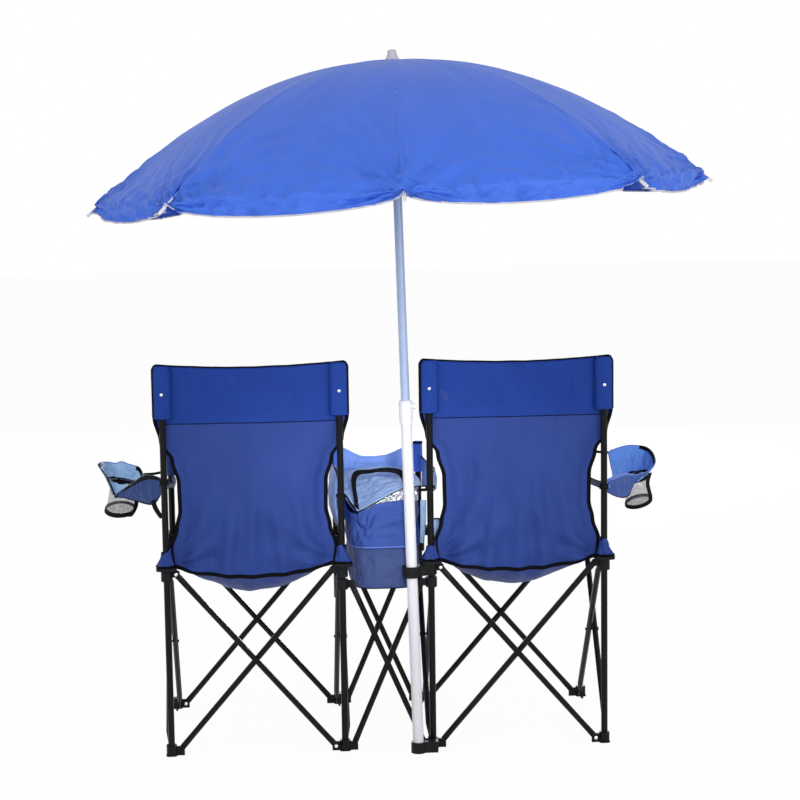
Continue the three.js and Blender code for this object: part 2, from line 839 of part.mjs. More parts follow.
// A loose ring on the right chair's inner hub steadies the pole
function umbrellaRing() {
  const centre = poleAt(hubHeight);
  const place = new THREE.Vector2(centre.x + ringShift, centre.y + ringShiftForward);
  const inner = lowerPoleRadius + ringPlay;
  const low = hubHeight - ringHeight / 2 - ringLower;
  const high = low + ringHeight;
  const arm = new THREE.BoxGeometry(
    Math.hypot(innerX - place.x, place.y),
    2 * ringArmHalf,
    ringHeight,
  );
  arm.rotateZ(Math.atan2(-place.y, innerX - place.x));
  arm.translate((innerX + place.x) / 2, place.y / 2, (low + high) / 2);
  const hoop = upright(place.x, place.y, low, high, inner + ringWall, 18);
  const bore = upright(place.x, place.y, low - overrun, high + overrun, inner, 18);
  const hub = upright(innerX, 0, low - overrun, high + overrun, hubRadius + seatGap, 28);
  return cut(join(arm, hoop), bore, hub);
}

const ringLower = 4;
addMesh(root, "umbrella_ring", umbrellaRing(), finishes.plastic);

// A cup beside the right chair's inner foot holds the pole's end
function umbrellaSocket() {
  const inner = lowerPoleRadius + socketPlay;
  const backArm = new THREE.BoxGeometry(2 * ringArmHalf, -poleFoot.y + ringArmHalf, socketHeight);
  backArm.translate(innerX, (poleFoot.y - ringArmHalf) / 2, socketHeight / 2);
  const sideArm = new THREE.BoxGeometry(innerX - poleFoot.x, 2 * ringArmHalf, socketHeight);
  sideArm.translate((innerX + poleFoot.x) / 2, poleFoot.y, socketHeight / 2);
  const cup = upright(poleFoot.x, poleFoot.y, 0, socketHeight, inner + socketWall, 18);
  const bore = upright(poleFoot.x, poleFoot.y, socketFloor, socketHeight + overrun, inner, 18);
  const foot = upright(innerX, 0, -overrun, socketHeight + overrun, footClearRadius, 28);
  return cut(join(backArm, sideArm, cup), bore, foot);
}

const footClearRadius = Math.hypot(footBaseHalf, footBaseHalf) + seatGap;
addMesh(root, "umbrella_socket", umbrellaSocket(), finishes.plastic);

// Sling: back panel, seat and the pockets over the rear posts, one piece of cloth
function smooth(t) {
  const s = Math.min(Math.max(t, 0), 1);
  return s * s * (3 - 2 * s);
}

const pocketRadius = postRadius + clothGap;
const backFront = pocketRadius + clothThickness / 2 + clothGap;
const pocketBottom = backTop - pocketLength;
const creaseHeight = flangeTop + seatGap + clothThickness / 2;
const creaseShare = 0.56;

function slingPoint(across, down) {
  const side = 2 * across - 1;
  const u = Math.sign(side) * columnShares[Math.round((Math.abs(side) * slingStepsAcross) / 2)];
  const flat = Math.max(0, 1 - (u / columnShares[3]) ** 2);
  const half = chairWidth / 2;
  const wide = half + clothOverhang;
  const waist = half - backWaistInset;
  const cornerHalf = half - clothCornerInset;
  if (down <= creaseShare) {
    const t = down / creaseShare;
    const z = backTop + (creaseHeight - backTop) * t;
    const waistZ = pocketBottom + (creaseHeight - pocketBottom) * waistDropShare;
    let width = wide;
    if (z < pocketBottom) {
      const toWaist = smooth((pocketBottom - z) / (pocketBottom - waistZ));
      const toCorner = smooth((waistZ - z) / (waistZ - creaseHeight));
      width = wide + (waist - wide) * toWaist + (cornerHalf - waist) * toCorner;
    }
    const droop = flat * smooth(t) * backHemSag;
    const fullness = Math.max(0, 1 - (u / bellyShare) ** 2) * Math.sin(Math.PI * t);
    const y = backFront - backBelly * fullness + t * t * creaseForward;
    return new THREE.Vector3(u * width, y, z - droop);
  }
  const t = (down - creaseShare) / (1 - creaseShare);
  const startY = backFront + creaseForward;
  const endY = chairDepth - pocketRadius - clothThickness;
  const y = startY + (endY - startY) * t;
  const bow = seatEdgeBow * Math.sin(Math.PI * t);
  const width = cornerHalf - bow;
  const hollow = seatSag * Math.sin(Math.PI * Math.pow(t, seatHollowShare)) * flat;
  const edge = seatEdgeSag * Math.sin(Math.PI * t) ** 2;
  const hem = (backHemSag * (1 - t) + frontHemSag * t) * flat;
  return new THREE.Vector3(u * width, y, creaseHeight - hollow - edge - hem);
}

const bellyShare = 0.75;
const waistDropShare = 0.53;
const columnShares = [0, 0.38, 0.7, 0.93, 1];
const backHemSag = 26;
const frontHemSag = 24;
const creaseForward = 6;
const seatEdgeBow = 16;
const seatEdgeSag = 6;
const seatHollowShare = 0.8;

function sling(leftCorner, rightCorner) {
  const centreX = (leftCorner.x + rightCorner.x) / 2;
  const cloth = sheet(slingPoint, slingStepsAcross, slingStepsDown, clothThickness, false);
  const pieces = [cloth];
  for (const side of [-1, 1]) {
    const top = backTop - clothGap;
    const pocket = hood(pocketRadius, pocketRadius + pocketWall, pocketBottom, top, pocketWall, 12);
    pieces.push(pocket.translate((side * chairWidth) / 2, 0, 0));
  }
  return join(...pieces).translate(centreX, 0, 0);
}

addMesh(root, "sling_left", sling(corners[0], corners[1]), finishes.seatCloth);
addMesh(root, "sling_right", sling(corners[2], corners[3]), finishes.seatCloth);

// Outer arms: a strap round the rear post, a hanging side and a lobe with the cup's hole
const armTop = armPostTop + clothGap + pocketWall;
const armStart = pocketRadius + pocketWall / 2;
const armSpread = 167;
const armFrontLap = 16;
const armDepth = 97;
const armLong = chairDepth + armFrontLap;
const armRowShares = [
  { y: 0, top: [0.003, 0], middle: [0.008, -0.1], edge: [0.013, -0.22] },
  { y: 0.15, top: [0.013, -0.06], middle: [0.063, -0.37], edge: [0.093, -0.76] },
  { y: 0.38, top: [0.018, -0.09], middle: [0.133, -0.52], edge: [0.153, -1] },
  { y: 0.56, top: [0.018, -0.09], middle: [0.223, -0.56], edge: [0.373, -0.99] },
  { y: 0.64, top: [0.018, -0.07], middle: [0.343, -0.45], edge: [0.703, -0.76] },
  { y: 0.76, top: [0.013, -0.04], middle: [0.423, -0.31], edge: [0.903, -0.45] },
  { y: 0.88, top: [0.005, -0.02], middle: [0.433, -0.23], edge: [0.933, -0.25] },
  { y: 1, top: [-0.001, 0], middle: [0.363, -0.14], edge: [0.773, -0.2] },
];

function armPoint(along, across) {
  const place = along * (armRowShares.length - 1);
  const i = Math.min(Math.floor(place), armRowShares.length - 2);
  const t = place - i;
  const a = armRowShares[i];
  const b = armRowShares[i + 1];
  const between = (key) => [0, 1].map((k) => a[key][k] * (1 - t) + b[key][k] * t);
  const y = (a.y * (1 - t) + b.y * t) * armLong;
  const [from, to] = across < 0.5 ? ["top", "middle"] : ["middle", "edge"];
  const turn = across < 0.5 ? across * 2 : across * 2 - 1;
  const out = between(from)[0] * (1 - turn) + between(to)[0] * turn;
  const down = between(from)[1] * (1 - turn) + between(to)[1] * turn;
  return new THREE.Vector3(-armStart - out * armSpread, y, armTop + down * armDepth);
}

function arm(side) {
  const cloth = sheet(armPoint, 14, 4, clothThickness, false);
  const strap = ring(pocketRadius, pocketRadius + pocketWall, armTop - strapHeight, armTop, 12);
  const pocket = hood(pocketRadius, pocketRadius + pocketWall, armTop - armPocket, armTop, pocketWall, 12);
  pocket.translate(0, chairDepth, 0);
  const hole = upright(-cupOut, cupForward, armTop - cupDepth, armTop + cupDepth, cupRadius + clothGap, 16);
  const whole = cut(join(cloth, strap, pocket), hole);
  return side > 0 ? mirrored(whole) : whole;
}

function mirrored(geometry) {
  return geometryOf(solidOf(geometry).mirror([1, 0, 0]));
}

const armPocket = 60;
addMesh(root, "arm_left", arm(-1), finishes.armCloth).position.set(-outerX, 0, 0);
addMesh(root, "arm_right", arm(1), finishes.armCloth).position.set(outerX, 0, 0);

// Cup holders hang in the arms' holes
function cup(side) {
  const rim = armTop - cupRimDrop + cupRimLip;
  const bottom = rim - cupDepth;
  const profile = [
    new THREE.Vector2(0, bottom),
    new THREE.Vector2(cupRadius - cupTaper, bottom),
    new THREE.Vector2(cupRadius, rim),
    new THREE.Vector2(cupRadius - cupWall, rim),
    new THREE.Vector2(cupRadius - cupTaper - cupWall, bottom + cupWall),
    new THREE.Vector2(0, bottom + cupWall),
  ];
  const net = new THREE.LatheGeometry(profile, 16).rotateX(Math.PI / 2);
  return net.translate(side * cupOut, cupForward, 0);
}

addMesh(root, "cup_net_left", cup(-1), finishes.net).position.set(-outerX, 0, 0);
addMesh(root, "cup_net_right", cup(1), finishes.net).position.set(outerX, 0, 0);

// Cooler bag between the chairs, sewn to the console cloth along its rim
const consoleTop = armPostTop + tableRise + clothGap + pocketWall;
const consoleHalf = innerX - pocketRadius - pocketWall + clothThickness / 2 - clothGap;

function bagOutline(inset) {
  const shape = new THREE.Shape();
  shape.moveTo(bagRearY + bagBelly + inset, bagBottom + inset);
  shape.lineTo(bagFrontY - inset, bagBottom + inset);
  shape.lineTo(bagFrontY - inset, bagFrontTop + inset);
  shape.lineTo(bagRearY + bagBelly + inset, bagRearTop + inset);
  shape.lineTo(bagRearY + inset, bagSeam);
  return shape;
}

function prism(shape, halfWidth) {
  const block = new THREE.ExtrudeGeometry(shape, { depth: 2 * halfWidth, bevelEnabled: false });
  block.translate(0, 0, -halfWidth);
  block.rotateX(Math.PI / 2);
  return block.rotateZ(Math.PI / 2);
}

function bag() {
  const shell = cut(prism(bagOutline(0), bagHalfWidth), prism(bagOutline(bagWall), bagHalfWidth - bagWall));
  const seamHalf = consoleHalf - clothThickness / 2 - seatGap;
  const band = new THREE.Shape();
  band.moveTo(bagRearY + bagBelly, bagRearTop - bagWall);
  band.lineTo(bagRearY + bagBelly, bagRearTop - bagWall - seamHeight);
  band.lineTo(bagFrontY, bagFrontTop - bagWall - seamHeight);
  band.lineTo(bagFrontY, bagFrontTop - bagWall);
  const seam = cut(prism(band, seamHalf), prism(bagOutline(bagWall), bagHalfWidth - bagWall));
  return join(shell, seam);
}

const bagBelly = 14;
const seamHeight = 9;
const armrestDepth = 75;
const consoleRearDrop = 34;
addMesh(root, "cooler_bag", bag(), finishes.armCloth);

// The lid is the bag's own slope, carried a little above its rim
const lidSlope = Math.atan2(bagFrontTop - bagRearTop, bagFrontY - bagRearY - bagBelly);

function lid() {
  const length = Math.hypot(bagFrontTop - bagRearTop, bagFrontY - bagRearY - bagBelly);
  const plate = roundedPlate(bagHalfWidth + lidLap, length / 2 + lidLap, lidLap * 2, 0, lidThickness, 2);
  plate.translate(0, length / 2, lidGap);
  plate.rotateX(lidSlope);
  return plate.translate(0, bagRearY + bagBelly, bagRearTop);
}

const lidLap = 4;
addMesh(root, "cooler_lid", lid(), finishes.armCloth);

// The handle: a loop of webbing that stands on the lid
function handle() {
  const route = new THREE.CatmullRomCurve3(
    handleShares.map(([x, z]) => new THREE.Vector3(x * handleHalfWidth, 0, z * handleHeight)),
    false,
    "catmullrom",
    0.5,
  );
  const section = new THREE.Shape();
  section.moveTo(-handleThickness / 2, -handleWidth / 2);
  section.lineTo(handleThickness / 2, -handleWidth / 2);
  section.lineTo(handleThickness / 2, handleWidth / 2);
  section.lineTo(-handleThickness / 2, handleWidth / 2);
  const loop = new THREE.ExtrudeGeometry(section, { steps: 16, extrudePath: route, bevelEnabled: false });
  const base = lidGap + lidThickness + 2 * seatGap;
  loop.translate(0, handleSetback, base);
  loop.rotateX(lidSlope);
  return loop.translate(handleOffset, bagRearY + bagBelly, bagRearTop);
}

const handleOffset = -14;
const handleShares = [
  [-1, 0],
  [-1.02, 0.5],
  [-0.9, 0.86],
  [-0.5, 1],
  [0.1, 1],
  [0.6, 0.97],
  [0.92, 0.8],
  [1.02, 0.45],
  [1, 0],
];
addMesh(root, "carry_handle", handle(), finishes.webbing);

// The console cloth: a strip between the two inner arm posts and an armrest back to each rear post

function tablePoint(across, along) {
  const u = 2 * across - 1;
  const rearY = bagFrontY + lidLap + tableClear;
  const frontY = chairDepth + tableFrontLap;
  const rearZ = bagFrontTop + lidThickness + tableClear;
  const edge = consoleTop - tableSag * (1 - u * u) - pocketWall;
  const z = rearZ + (edge - rearZ) * smooth(along);
  const half = bagHalfWidth + (consoleHalf - bagHalfWidth) * smooth(along);
  return new THREE.Vector3(u * half, rearY + (frontY - rearY) * along, z);
}

const armrestShares = [
  { y: 0, drop: 1, deep: 0.36 },
  { y: 0.12, drop: 0.95, deep: 1 },
  { y: 0.45, drop: 0.7, deep: 0.87 },
  { y: 0.84, drop: 0.3, deep: 0.62 },
  { y: 1, drop: 0, deep: 0.62 },
];

function armrestPoint(across, along) {
  const row = armrestShares[Math.round(along * (armrestShares.length - 1))];
  return new THREE.Vector3(
    consoleHalf,
    row.y * chairDepth,
    consoleTop - pocketWall - row.drop * consoleRearDrop - across * row.deep * armrestDepth,
  );
}

const tableClear = 6;

function table() {
  const pieces = [sheet(tablePoint, 8, 3, clothThickness, false)];
  for (const side of [-1, 1]) {
    const pocket = hood(
      pocketRadius,
      pocketRadius + pocketWall,
      consoleTop - armPocket,
      consoleTop,
      pocketWall,
      12,
    );
    pieces.push(pocket.translate(side * innerX, chairDepth, 0));
    const strapTop = consoleTop - consoleRearDrop;
    const strap = ring(pocketRadius, pocketRadius + pocketWall, strapTop - strapHeight, strapTop, 12);
    pieces.push(strap.translate(side * innerX, 0, 0));
    const panel = sheet(armrestPoint, 1, armrestShares.length - 1, clothThickness, false);
    pieces.push(side > 0 ? panel : mirrored(panel));
  }
  return join(...pieces);
}

addMesh(root, "centre_table", table(), finishes.armCloth);

// The origin is under the middle of the whole object, on the ground
const bounds = new THREE.Box3().setFromObject(root, true);
const centre = bounds.getCenter(new THREE.Vector3());
root.position.set(-centre.x, -centre.y, -bounds.min.z);

export default root;
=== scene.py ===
import math
import bpy
import bmesh
from mathutils import Matrix, Vector, noise


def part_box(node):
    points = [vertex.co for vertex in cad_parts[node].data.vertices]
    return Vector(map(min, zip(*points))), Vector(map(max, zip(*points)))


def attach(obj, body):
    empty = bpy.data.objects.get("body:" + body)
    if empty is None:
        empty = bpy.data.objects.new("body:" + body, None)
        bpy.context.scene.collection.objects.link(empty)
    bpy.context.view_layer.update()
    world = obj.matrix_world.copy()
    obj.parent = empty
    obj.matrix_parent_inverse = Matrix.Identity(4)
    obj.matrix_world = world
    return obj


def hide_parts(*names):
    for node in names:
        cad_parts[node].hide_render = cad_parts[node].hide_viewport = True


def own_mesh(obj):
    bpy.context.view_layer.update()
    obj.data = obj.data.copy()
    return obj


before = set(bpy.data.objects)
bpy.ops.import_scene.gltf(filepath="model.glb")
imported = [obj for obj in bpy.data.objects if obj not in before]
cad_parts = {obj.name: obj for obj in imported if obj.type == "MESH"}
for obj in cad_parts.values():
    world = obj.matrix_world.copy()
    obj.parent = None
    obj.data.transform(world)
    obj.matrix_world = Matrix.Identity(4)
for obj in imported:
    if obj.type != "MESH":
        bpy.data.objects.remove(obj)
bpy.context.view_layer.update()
print("frame loaded")

# The chairs' own frame: x from the middle of the inner posts, y from the rear posts, z from the ground
chair = {"width": 0.378, "depth": 0.378, "gap": 0.193, "postRadius": 0.0072, "hubHalf": 0.022,
         "pivotReach": 0.02, "pivotHeight": 0.012, "hubHeight": 0.404}
innerX = chair["gap"] / 2
outerX = innerX + chair["width"]
cornerX = {"left_outer": -outerX, "left_inner": -innerX, "right_inner": innerX, "right_outer": outerX}
leftArmPost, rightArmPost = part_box("arm_post_left_inner"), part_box("arm_post_right_inner")
origin = Vector(((leftArmPost[0].x + rightArmPost[1].x) / 2,
                 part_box("rear_hub_left_inner")[0].y + chair["hubHalf"], 0))


def at(x, y, z):
    return origin + Vector((x, y, z))


def ease(t):
    t = min(max(t, 0), 1)
    return t * t * (3 - 2 * t)


def between(a, b, t):
    return a + (b - a) * t


# The value at a place between rows of places and values, eased or straight
def along(rows, place, soften=True):
    for (a, valueA), (b, valueB) in zip(rows, rows[1:]):
        if place <= b or (b, valueB) == rows[-1]:
            share = (place - a) / (b - a)
            return between(valueA, valueB, ease(share) if soften else share)


def arch(t):  # up from 0 to 1 and back to 0
    return math.sin(math.pi * t)


def bell(distance, width):
    return math.exp(-(distance / width) ** 2)


def softNoise(x, y, z):
    return noise.noise(Vector((x, y, z)))


def shifted(place, x=0, y=0, z=0):
    return place[0] + x, place[1] + y, place[2] + z


# Camera at the photo's viewing angle
cameraFit = {"place": (-0.2621, -4.9072, 1.4901), "yaw": -0.0603, "pitch": 0.1453, "roll": 0.0144, "focal": 2317.5}


def makeCamera():
    yaw, pitch, roll = cameraFit["yaw"], cameraFit["pitch"], cameraFit["roll"]
    forward = Vector((-math.sin(yaw) * math.cos(pitch), math.cos(yaw) * math.cos(pitch), -math.sin(pitch)))
    right = Vector((math.cos(yaw), math.sin(yaw), 0))
    up = right.cross(forward)
    sideways = math.cos(roll) * right - math.sin(roll) * up
    upward = math.sin(roll) * right + math.cos(roll) * up
    camera = bpy.data.objects.new("camera", bpy.data.cameras.new("camera"))
    bpy.context.scene.collection.objects.link(camera)
    turn = Matrix((sideways, upward, -forward)).transposed().to_4x4()
    camera.matrix_world = Matrix.Translation(at(*cameraFit["place"])) @ turn
    camera.data.sensor_width = 36
    camera.data.lens = 36 * cameraFit["focal"] / 800
    camera.data.clip_end = 60
    bpy.context.scene.camera = camera


makeCamera()


# Node helpers
def addNode(tree, kind, inputs=None, **settings):
    made = tree.nodes.new(kind)
    for key, value in settings.items():
        setattr(made, key, value)
    for key, value in (inputs or {}).items():
        if isinstance(value, bpy.types.NodeSocket):
            tree.links.new(value, made.inputs[key])
        else:
            made.inputs[key].default_value = value
    return made


def placeGroup(tree, group, inputs):
    return addNode(tree, "ShaderNodeGroup", inputs, node_tree=group)


def math2(tree, operation, a, b=0.0):
    return addNode(tree, "ShaderNodeMath", {0: a, 1: b}, operation=operation).outputs[0]


def mixColors(tree, share, a, b, blend="MIX"):
    made = addNode(tree, "ShaderNodeMix", {0: share}, data_type="RGBA", blend_type=blend)
    for key, value in ((6, a), (7, b)):
        if isinstance(value, bpy.types.NodeSocket):
            tree.links.new(value, made.inputs[key])
        else:
            made.inputs[key].default_value = value
    return made.outputs[2]


def addBump(tree, distance, height, **more):
    inputs = {"Strength": 1.0, "Distance": distance, "Height": height, **more}
    return addNode(tree, "ShaderNodeBump", inputs).outputs["Normal"]


def threadWave(tree, turns):
    return math2(tree, "ABSOLUTE", math2(tree, "SINE", math2(tree, "MULTIPLY", turns, math.pi)))


def newGroup(name, inputs, outputs):
    group = bpy.data.node_groups.new(name, "ShaderNodeTree")
    for key, kind, value in inputs:
        made = group.interface.new_socket(key, in_out="INPUT", socket_type=kind)
        if value is not None:
            made.default_value = value
    for key, kind in outputs:
        group.interface.new_socket(key, in_out="OUTPUT", socket_type=kind)
    return group, group.nodes.new("NodeGroupInput"), group.nodes.new("NodeGroupOutput")


# Plain weave: threads over and under each other, from a map in metres
def makeWeaveGroup():
    group, given, result = newGroup(
        "plainWeave",
        [("Vector", "NodeSocketVector", None), ("Pitch", "NodeSocketFloat", 0.0009)],
        [("Height", "NodeSocketFloat")])
    split = addNode(group, "ShaderNodeSeparateXYZ", {0: given.outputs["Vector"]})
    turns = [math2(group, "DIVIDE", split.outputs[axis], given.outputs["Pitch"]) for axis in (0, 1)]
    warp, weft = threadWave(group, turns[0]), threadWave(group, turns[1])
    checks = addNode(group, "ShaderNodeCombineXYZ", {0: turns[0], 1: turns[1]})
    over = addNode(group, "ShaderNodeTexChecker",
                   {"Vector": checks.outputs[0], "Color1": (1, 1, 1, 1), "Color2": (0, 0, 0, 1), "Scale": 1.0})
    mixed = addNode(group, "ShaderNodeMix", {0: over.outputs["Fac"], 2: warp, 3: weft}, data_type="FLOAT")
    group.links.new(mixed.outputs[0], result.inputs["Height"])
    return group


# Soft crumples and a cloudy unevenness of colour
def makeCrumpleGroup():
    group, given, result = newGroup(
        "softCrumple",
        [("Vector", "NodeSocketVector", None), ("Scale", "NodeSocketFloat", 14.0),
         ("Stretch", "NodeSocketFloat", 2.5)],
        [("Height", "NodeSocketFloat"), ("Cloud", "NodeSocketFloat")])
    split = addNode(group, "ShaderNodeSeparateXYZ", {0: given.outputs["Vector"]})
    stretched = math2(group, "DIVIDE", split.outputs[1], given.outputs["Stretch"])
    vector = addNode(group, "ShaderNodeCombineXYZ", {0: split.outputs[0], 1: stretched, 2: split.outputs[2]})
    folds = addNode(group, "ShaderNodeTexNoise",
                    {"Vector": vector.outputs[0], "Scale": given.outputs["Scale"], "Detail": 3.0,
                     "Roughness": 0.5, "Distortion": 0.8})
    cloud = addNode(group, "ShaderNodeTexNoise",
                    {"Vector": given.outputs["Vector"], "Scale": 7.0, "Detail": 2.0})
    group.links.new(folds.outputs["Fac"], result.inputs["Height"])
    group.links.new(cloud.outputs["Fac"], result.inputs["Cloud"])
    return group


# Fine grain of moulded plastic and powder paint
def makeGrainGroup():
    group, given, result = newGroup(
        "fineGrain",
        [("Scale", "NodeSocketFloat", 900.0), ("Wear", "NodeSocketFloat", 0.2)],
        [("Height", "NodeSocketFloat"), ("Rub", "NodeSocketFloat")])
    coordinate = addNode(group, "ShaderNodeTexCoord")
    grain = addNode(group, "ShaderNodeTexNoise",
                    {"Vector": coordinate.outputs["Object"], "Scale": given.outputs["Scale"], "Detail": 2.0})
    rub = addNode(group, "ShaderNodeTexNoise",
                  {"Vector": coordinate.outputs["Object"], "Scale": 35.0, "Detail": 4.0, "Roughness": 0.7})
    edge = math2(group, "MULTIPLY", rub.outputs["Fac"], given.outputs["Wear"])
    group.links.new(grain.outputs["Fac"], result.inputs["Height"])
    group.links.new(edge, result.inputs["Rub"])
    return group


weaveGroup, crumpleGroup, grainGroup = makeWeaveGroup(), makeCrumpleGroup(), makeGrainGroup()


def newMaterial(name, color, roughness, gloss=0.5, metallic=0.0):
    material = bpy.data.materials.new(name)
    material.use_nodes = True
    material.diffuse_color = (*color, 1)
    shader = material.node_tree.nodes["Principled BSDF"]
    for key, value in (("Base Color", (*color, 1)), ("Roughness", roughness), ("Specular IOR Level", gloss),
                       ("Metallic", metallic)):
        shader.inputs[key].default_value = value
    return material, material.node_tree, shader


def shade(color, factor):
    return (*[min(c * factor, 1) for c in color], 1)


def clothMaterial(name, color, roughness, pitch=0.0009, weaveDepth=0.00012, crumple=0.0016, scale=14.0,
                  stretch=2.5, contrast=0.16, **surface):
    material, tree, shader = newMaterial(name, color, roughness, **surface)
    uv = addNode(tree, "ShaderNodeUVMap")
    weave = placeGroup(tree, weaveGroup, {"Vector": uv.outputs[0], "Pitch": pitch})
    folds = placeGroup(tree, crumpleGroup, {"Vector": uv.outputs[0], "Scale": scale, "Stretch": stretch})
    tone = mixColors(tree, folds.outputs["Cloud"], shade(color, 1 - contrast), shade(color, 1 + contrast))
    # Painted shade: the colour darkens to 0.82 in the weave's low points
    threads = mixColors(tree, weave.outputs["Height"], (0.82, 0.82, 0.82, 1), (1, 1, 1, 1))
    tree.links.new(mixColors(tree, 1.0, tone, threads, "MULTIPLY"), shader.inputs["Base Color"])
    broad = addBump(tree, crumple, folds.outputs["Height"])
    tree.links.new(addBump(tree, weaveDepth, weave.outputs["Height"], Normal=broad), shader.inputs["Normal"])
    return material


def hardMaterial(name, color, roughness, grain=900.0, depth=0.00005, wear=0.25, **surface):
    material, tree, shader = newMaterial(name, color, roughness, **surface)
    finish = placeGroup(tree, grainGroup, {"Scale": grain, "Wear": wear})
    rough = math2(tree, "ADD", finish.outputs["Rub"], roughness - wear / 2)
    tree.links.new(rough, shader.inputs["Roughness"])
    tone = mixColors(tree, finish.outputs["Rub"], shade(color, 0.92), shade(color, 1.5))
    tree.links.new(tone, shader.inputs["Base Color"])
    tree.links.new(addBump(tree, depth, finish.outputs["Height"]), shader.inputs["Normal"])
    return material


# The nets' open mesh: threads with gaps between them
def netMaterial(name, color, threadShare, pitch=0.0048):
    material, tree, shader = newMaterial(name, color, 0.7)
    uv = addNode(tree, "ShaderNodeUVMap")
    turned = addNode(tree, "ShaderNodeMapping", {"Vector": uv.outputs[0], "Rotation": (0, 0, math.radians(45)),
                                                 "Scale": (1 / pitch, 1 / pitch, 1)})
    split = addNode(tree, "ShaderNodeSeparateXYZ", {0: turned.outputs[0]})
    threads = [math2(tree, "LESS_THAN", threadWave(tree, split.outputs[axis]), threadShare) for axis in (0, 1)]
    tree.links.new(math2(tree, "MAXIMUM", threads[0], threads[1]), shader.inputs["Alpha"])
    material.surface_render_method = "DITHERED"
    return material


# Each finish: its material's name, colour and roughness, and what differs from the plain settings
black = (0.003, 0.003, 0.005)
hardFinishes = {
    "tube": ("powderCoatedTube", (0.005, 0.005, 0.006), 0.3, {"wear": 0.16, "gloss": 0.12}),
    "plastic": ("blackBracketPlastic", (0.006, 0.007, 0.008), 0.42, {"grain": 700.0, "gloss": 0.12}),
    "whiteSteel": ("whitePaintedSteel", (0.62, 0.625, 0.65), 0.32, {"wear": 0.12}),
    # Painted shade: the upper pole's grey-blue stands for the shadow under the canopy
    "shadedUpperSteel": ("upperPoleSteel", (0.33, 0.41, 0.58), 0.35, {"wear": 0.15, "metallic": 0.3}),
    "whitePlastic": ("whitePlastic", (0.64, 0.64, 0.66), 0.45, {"wear": 0.15}),
    "capPlastic": ("greyCapPlastic", (0.44, 0.45, 0.49), 0.4, {"wear": 0.15}),
    "steel": ("rivetSteel", (0.75, 0.75, 0.76), 0.28, {"wear": 0.2, "metallic": 1.0}),
}
clothFinishes = {
    "canopy": ("canopyNylon", (0.043, 0.135, 0.63), 0.48,
               {"pitch": 0.0012, "weaveDepth": 0.00004, "crumple": 0.0045, "scale": 18.0, "stretch": 3.0,
                "contrast": 0.12, "gloss": 0.25}),
    "seat": ("seatPolyester", (0.022, 0.049, 0.225), 0.5,
             {"crumple": 0.01, "scale": 11.0, "contrast": 0.2, "gloss": 0.12}),
    "band": ("headBandPolyester", (0.01, 0.04, 0.24), 0.5, {"crumple": 0.008, "stretch": 5.0, "gloss": 0.1}),
    # Painted light and shade: both lobes are one cloth, lighter on the left where the light falls and darker on the
    # right
    "armLeft": ("leftArmPolyester", (0.4, 0.64, 0.98), 0.5, {"scale": 26.0, "gloss": 0.3}),
    "armRight": ("rightArmPolyester", (0.125, 0.3, 0.8), 0.5, {"scale": 26.0, "gloss": 0.3}),
    "wing": ("armSidePolyester", (0.012, 0.042, 0.18), 0.6, {"scale": 18.0, "gloss": 0.2}),
    # Painted light: a lighter copy of the side cloth for the right arm's side
    "wingRight": ("rightSidePolyester", (0.026, 0.075, 0.3), 0.6, {"scale": 18.0, "gloss": 0.2}),
    "bag": ("bagPolyester", (0.036, 0.077, 0.31), 0.5,
            {"crumple": 0.018, "scale": 20.0, "stretch": 1.2, "contrast": 0.3, "gloss": 0.15}),
    "tub": ("bagLowerPolyester", (0.055, 0.085, 0.235), 0.55,
            {"crumple": 0.016, "scale": 16.0, "stretch": 1.2, "contrast": 0.3, "gloss": 0.15}),
    "seamBand": ("bagHemPolyester", (0.1, 0.19, 0.6), 0.6, {"scale": 30.0, "gloss": 0.3}),
    "lid": ("lidPolyester", (0.39, 0.56, 0.98), 0.55,
            {"crumple": 0.01, "scale": 26.0, "stretch": 0.7, "contrast": 0.25, "gloss": 0.15}),
    "strip": ("consolePolyester", (0.23, 0.4, 0.98), 0.5,
              {"crumple": 0.011, "scale": 26.0, "contrast": 0.25, "gloss": 0.3}),
    "hemCloth": ("blueBinding", (0.1, 0.2, 0.65), 0.6, {"scale": 30.0, "gloss": 0.3}),
    "pocket": ("consolePocketPolyester", (0.09, 0.22, 0.95), 0.5, {"scale": 22.0, "gloss": 0.3}),
    "tape": ("blackBindingTape", black, 0.7,
             {"pitch": 0.0016, "weaveDepth": 0.0002, "crumple": 0.0004, "scale": 40.0, "contrast": 0.3,
              "gloss": 0.06}),
    "webbing": ("blackWebbing", (0.005, 0.005, 0.007), 0.65,
                {"pitch": 0.0022, "weaveDepth": 0.0003, "crumple": 0.0005, "scale": 30.0, "contrast": 0.3,
                 "gloss": 0.1}),
    # Painted shade: the white piping is coloured grey as it looks in shade
    "piping": ("whitePiping", (0.5, 0.5, 0.56), 0.6, {"pitch": 0.001, "crumple": 0.0003, "contrast": 0.05}),
    "foil": ("silverLining", (0.75, 0.76, 0.78), 0.3,
             {"pitch": 0.004, "weaveDepth": 0.0001, "crumple": 0.006, "scale": 38.0, "stretch": 1.0,
              "contrast": 0.15, "metallic": 0.85}),
}
finishes = {key: hardMaterial(*given, **more) for key, (*given, more) in hardFinishes.items()}
finishes.update({key: clothMaterial(*given, **more) for key, (*given, more) in clothFinishes.items()})
finishes["net"] = netMaterial("cupNet", (0.15, 0.15, 0.16), 0.32)
finishes["blackNet"] = netMaterial("cupNetFloor", black, 0.5)
print("materials made")


# Piece helpers
def addPiece(name, bm, finish, smooth=True):
    mesh = bpy.data.meshes.new(name)
    bm.to_mesh(mesh)
    bm.free()
    for polygon in mesh.polygons:
        polygon.use_smooth = smooth
    piece = bpy.data.objects.new(name, mesh)
    bpy.context.scene.collection.objects.link(piece)
    mesh.materials.append(finishes[finish])
    return piece


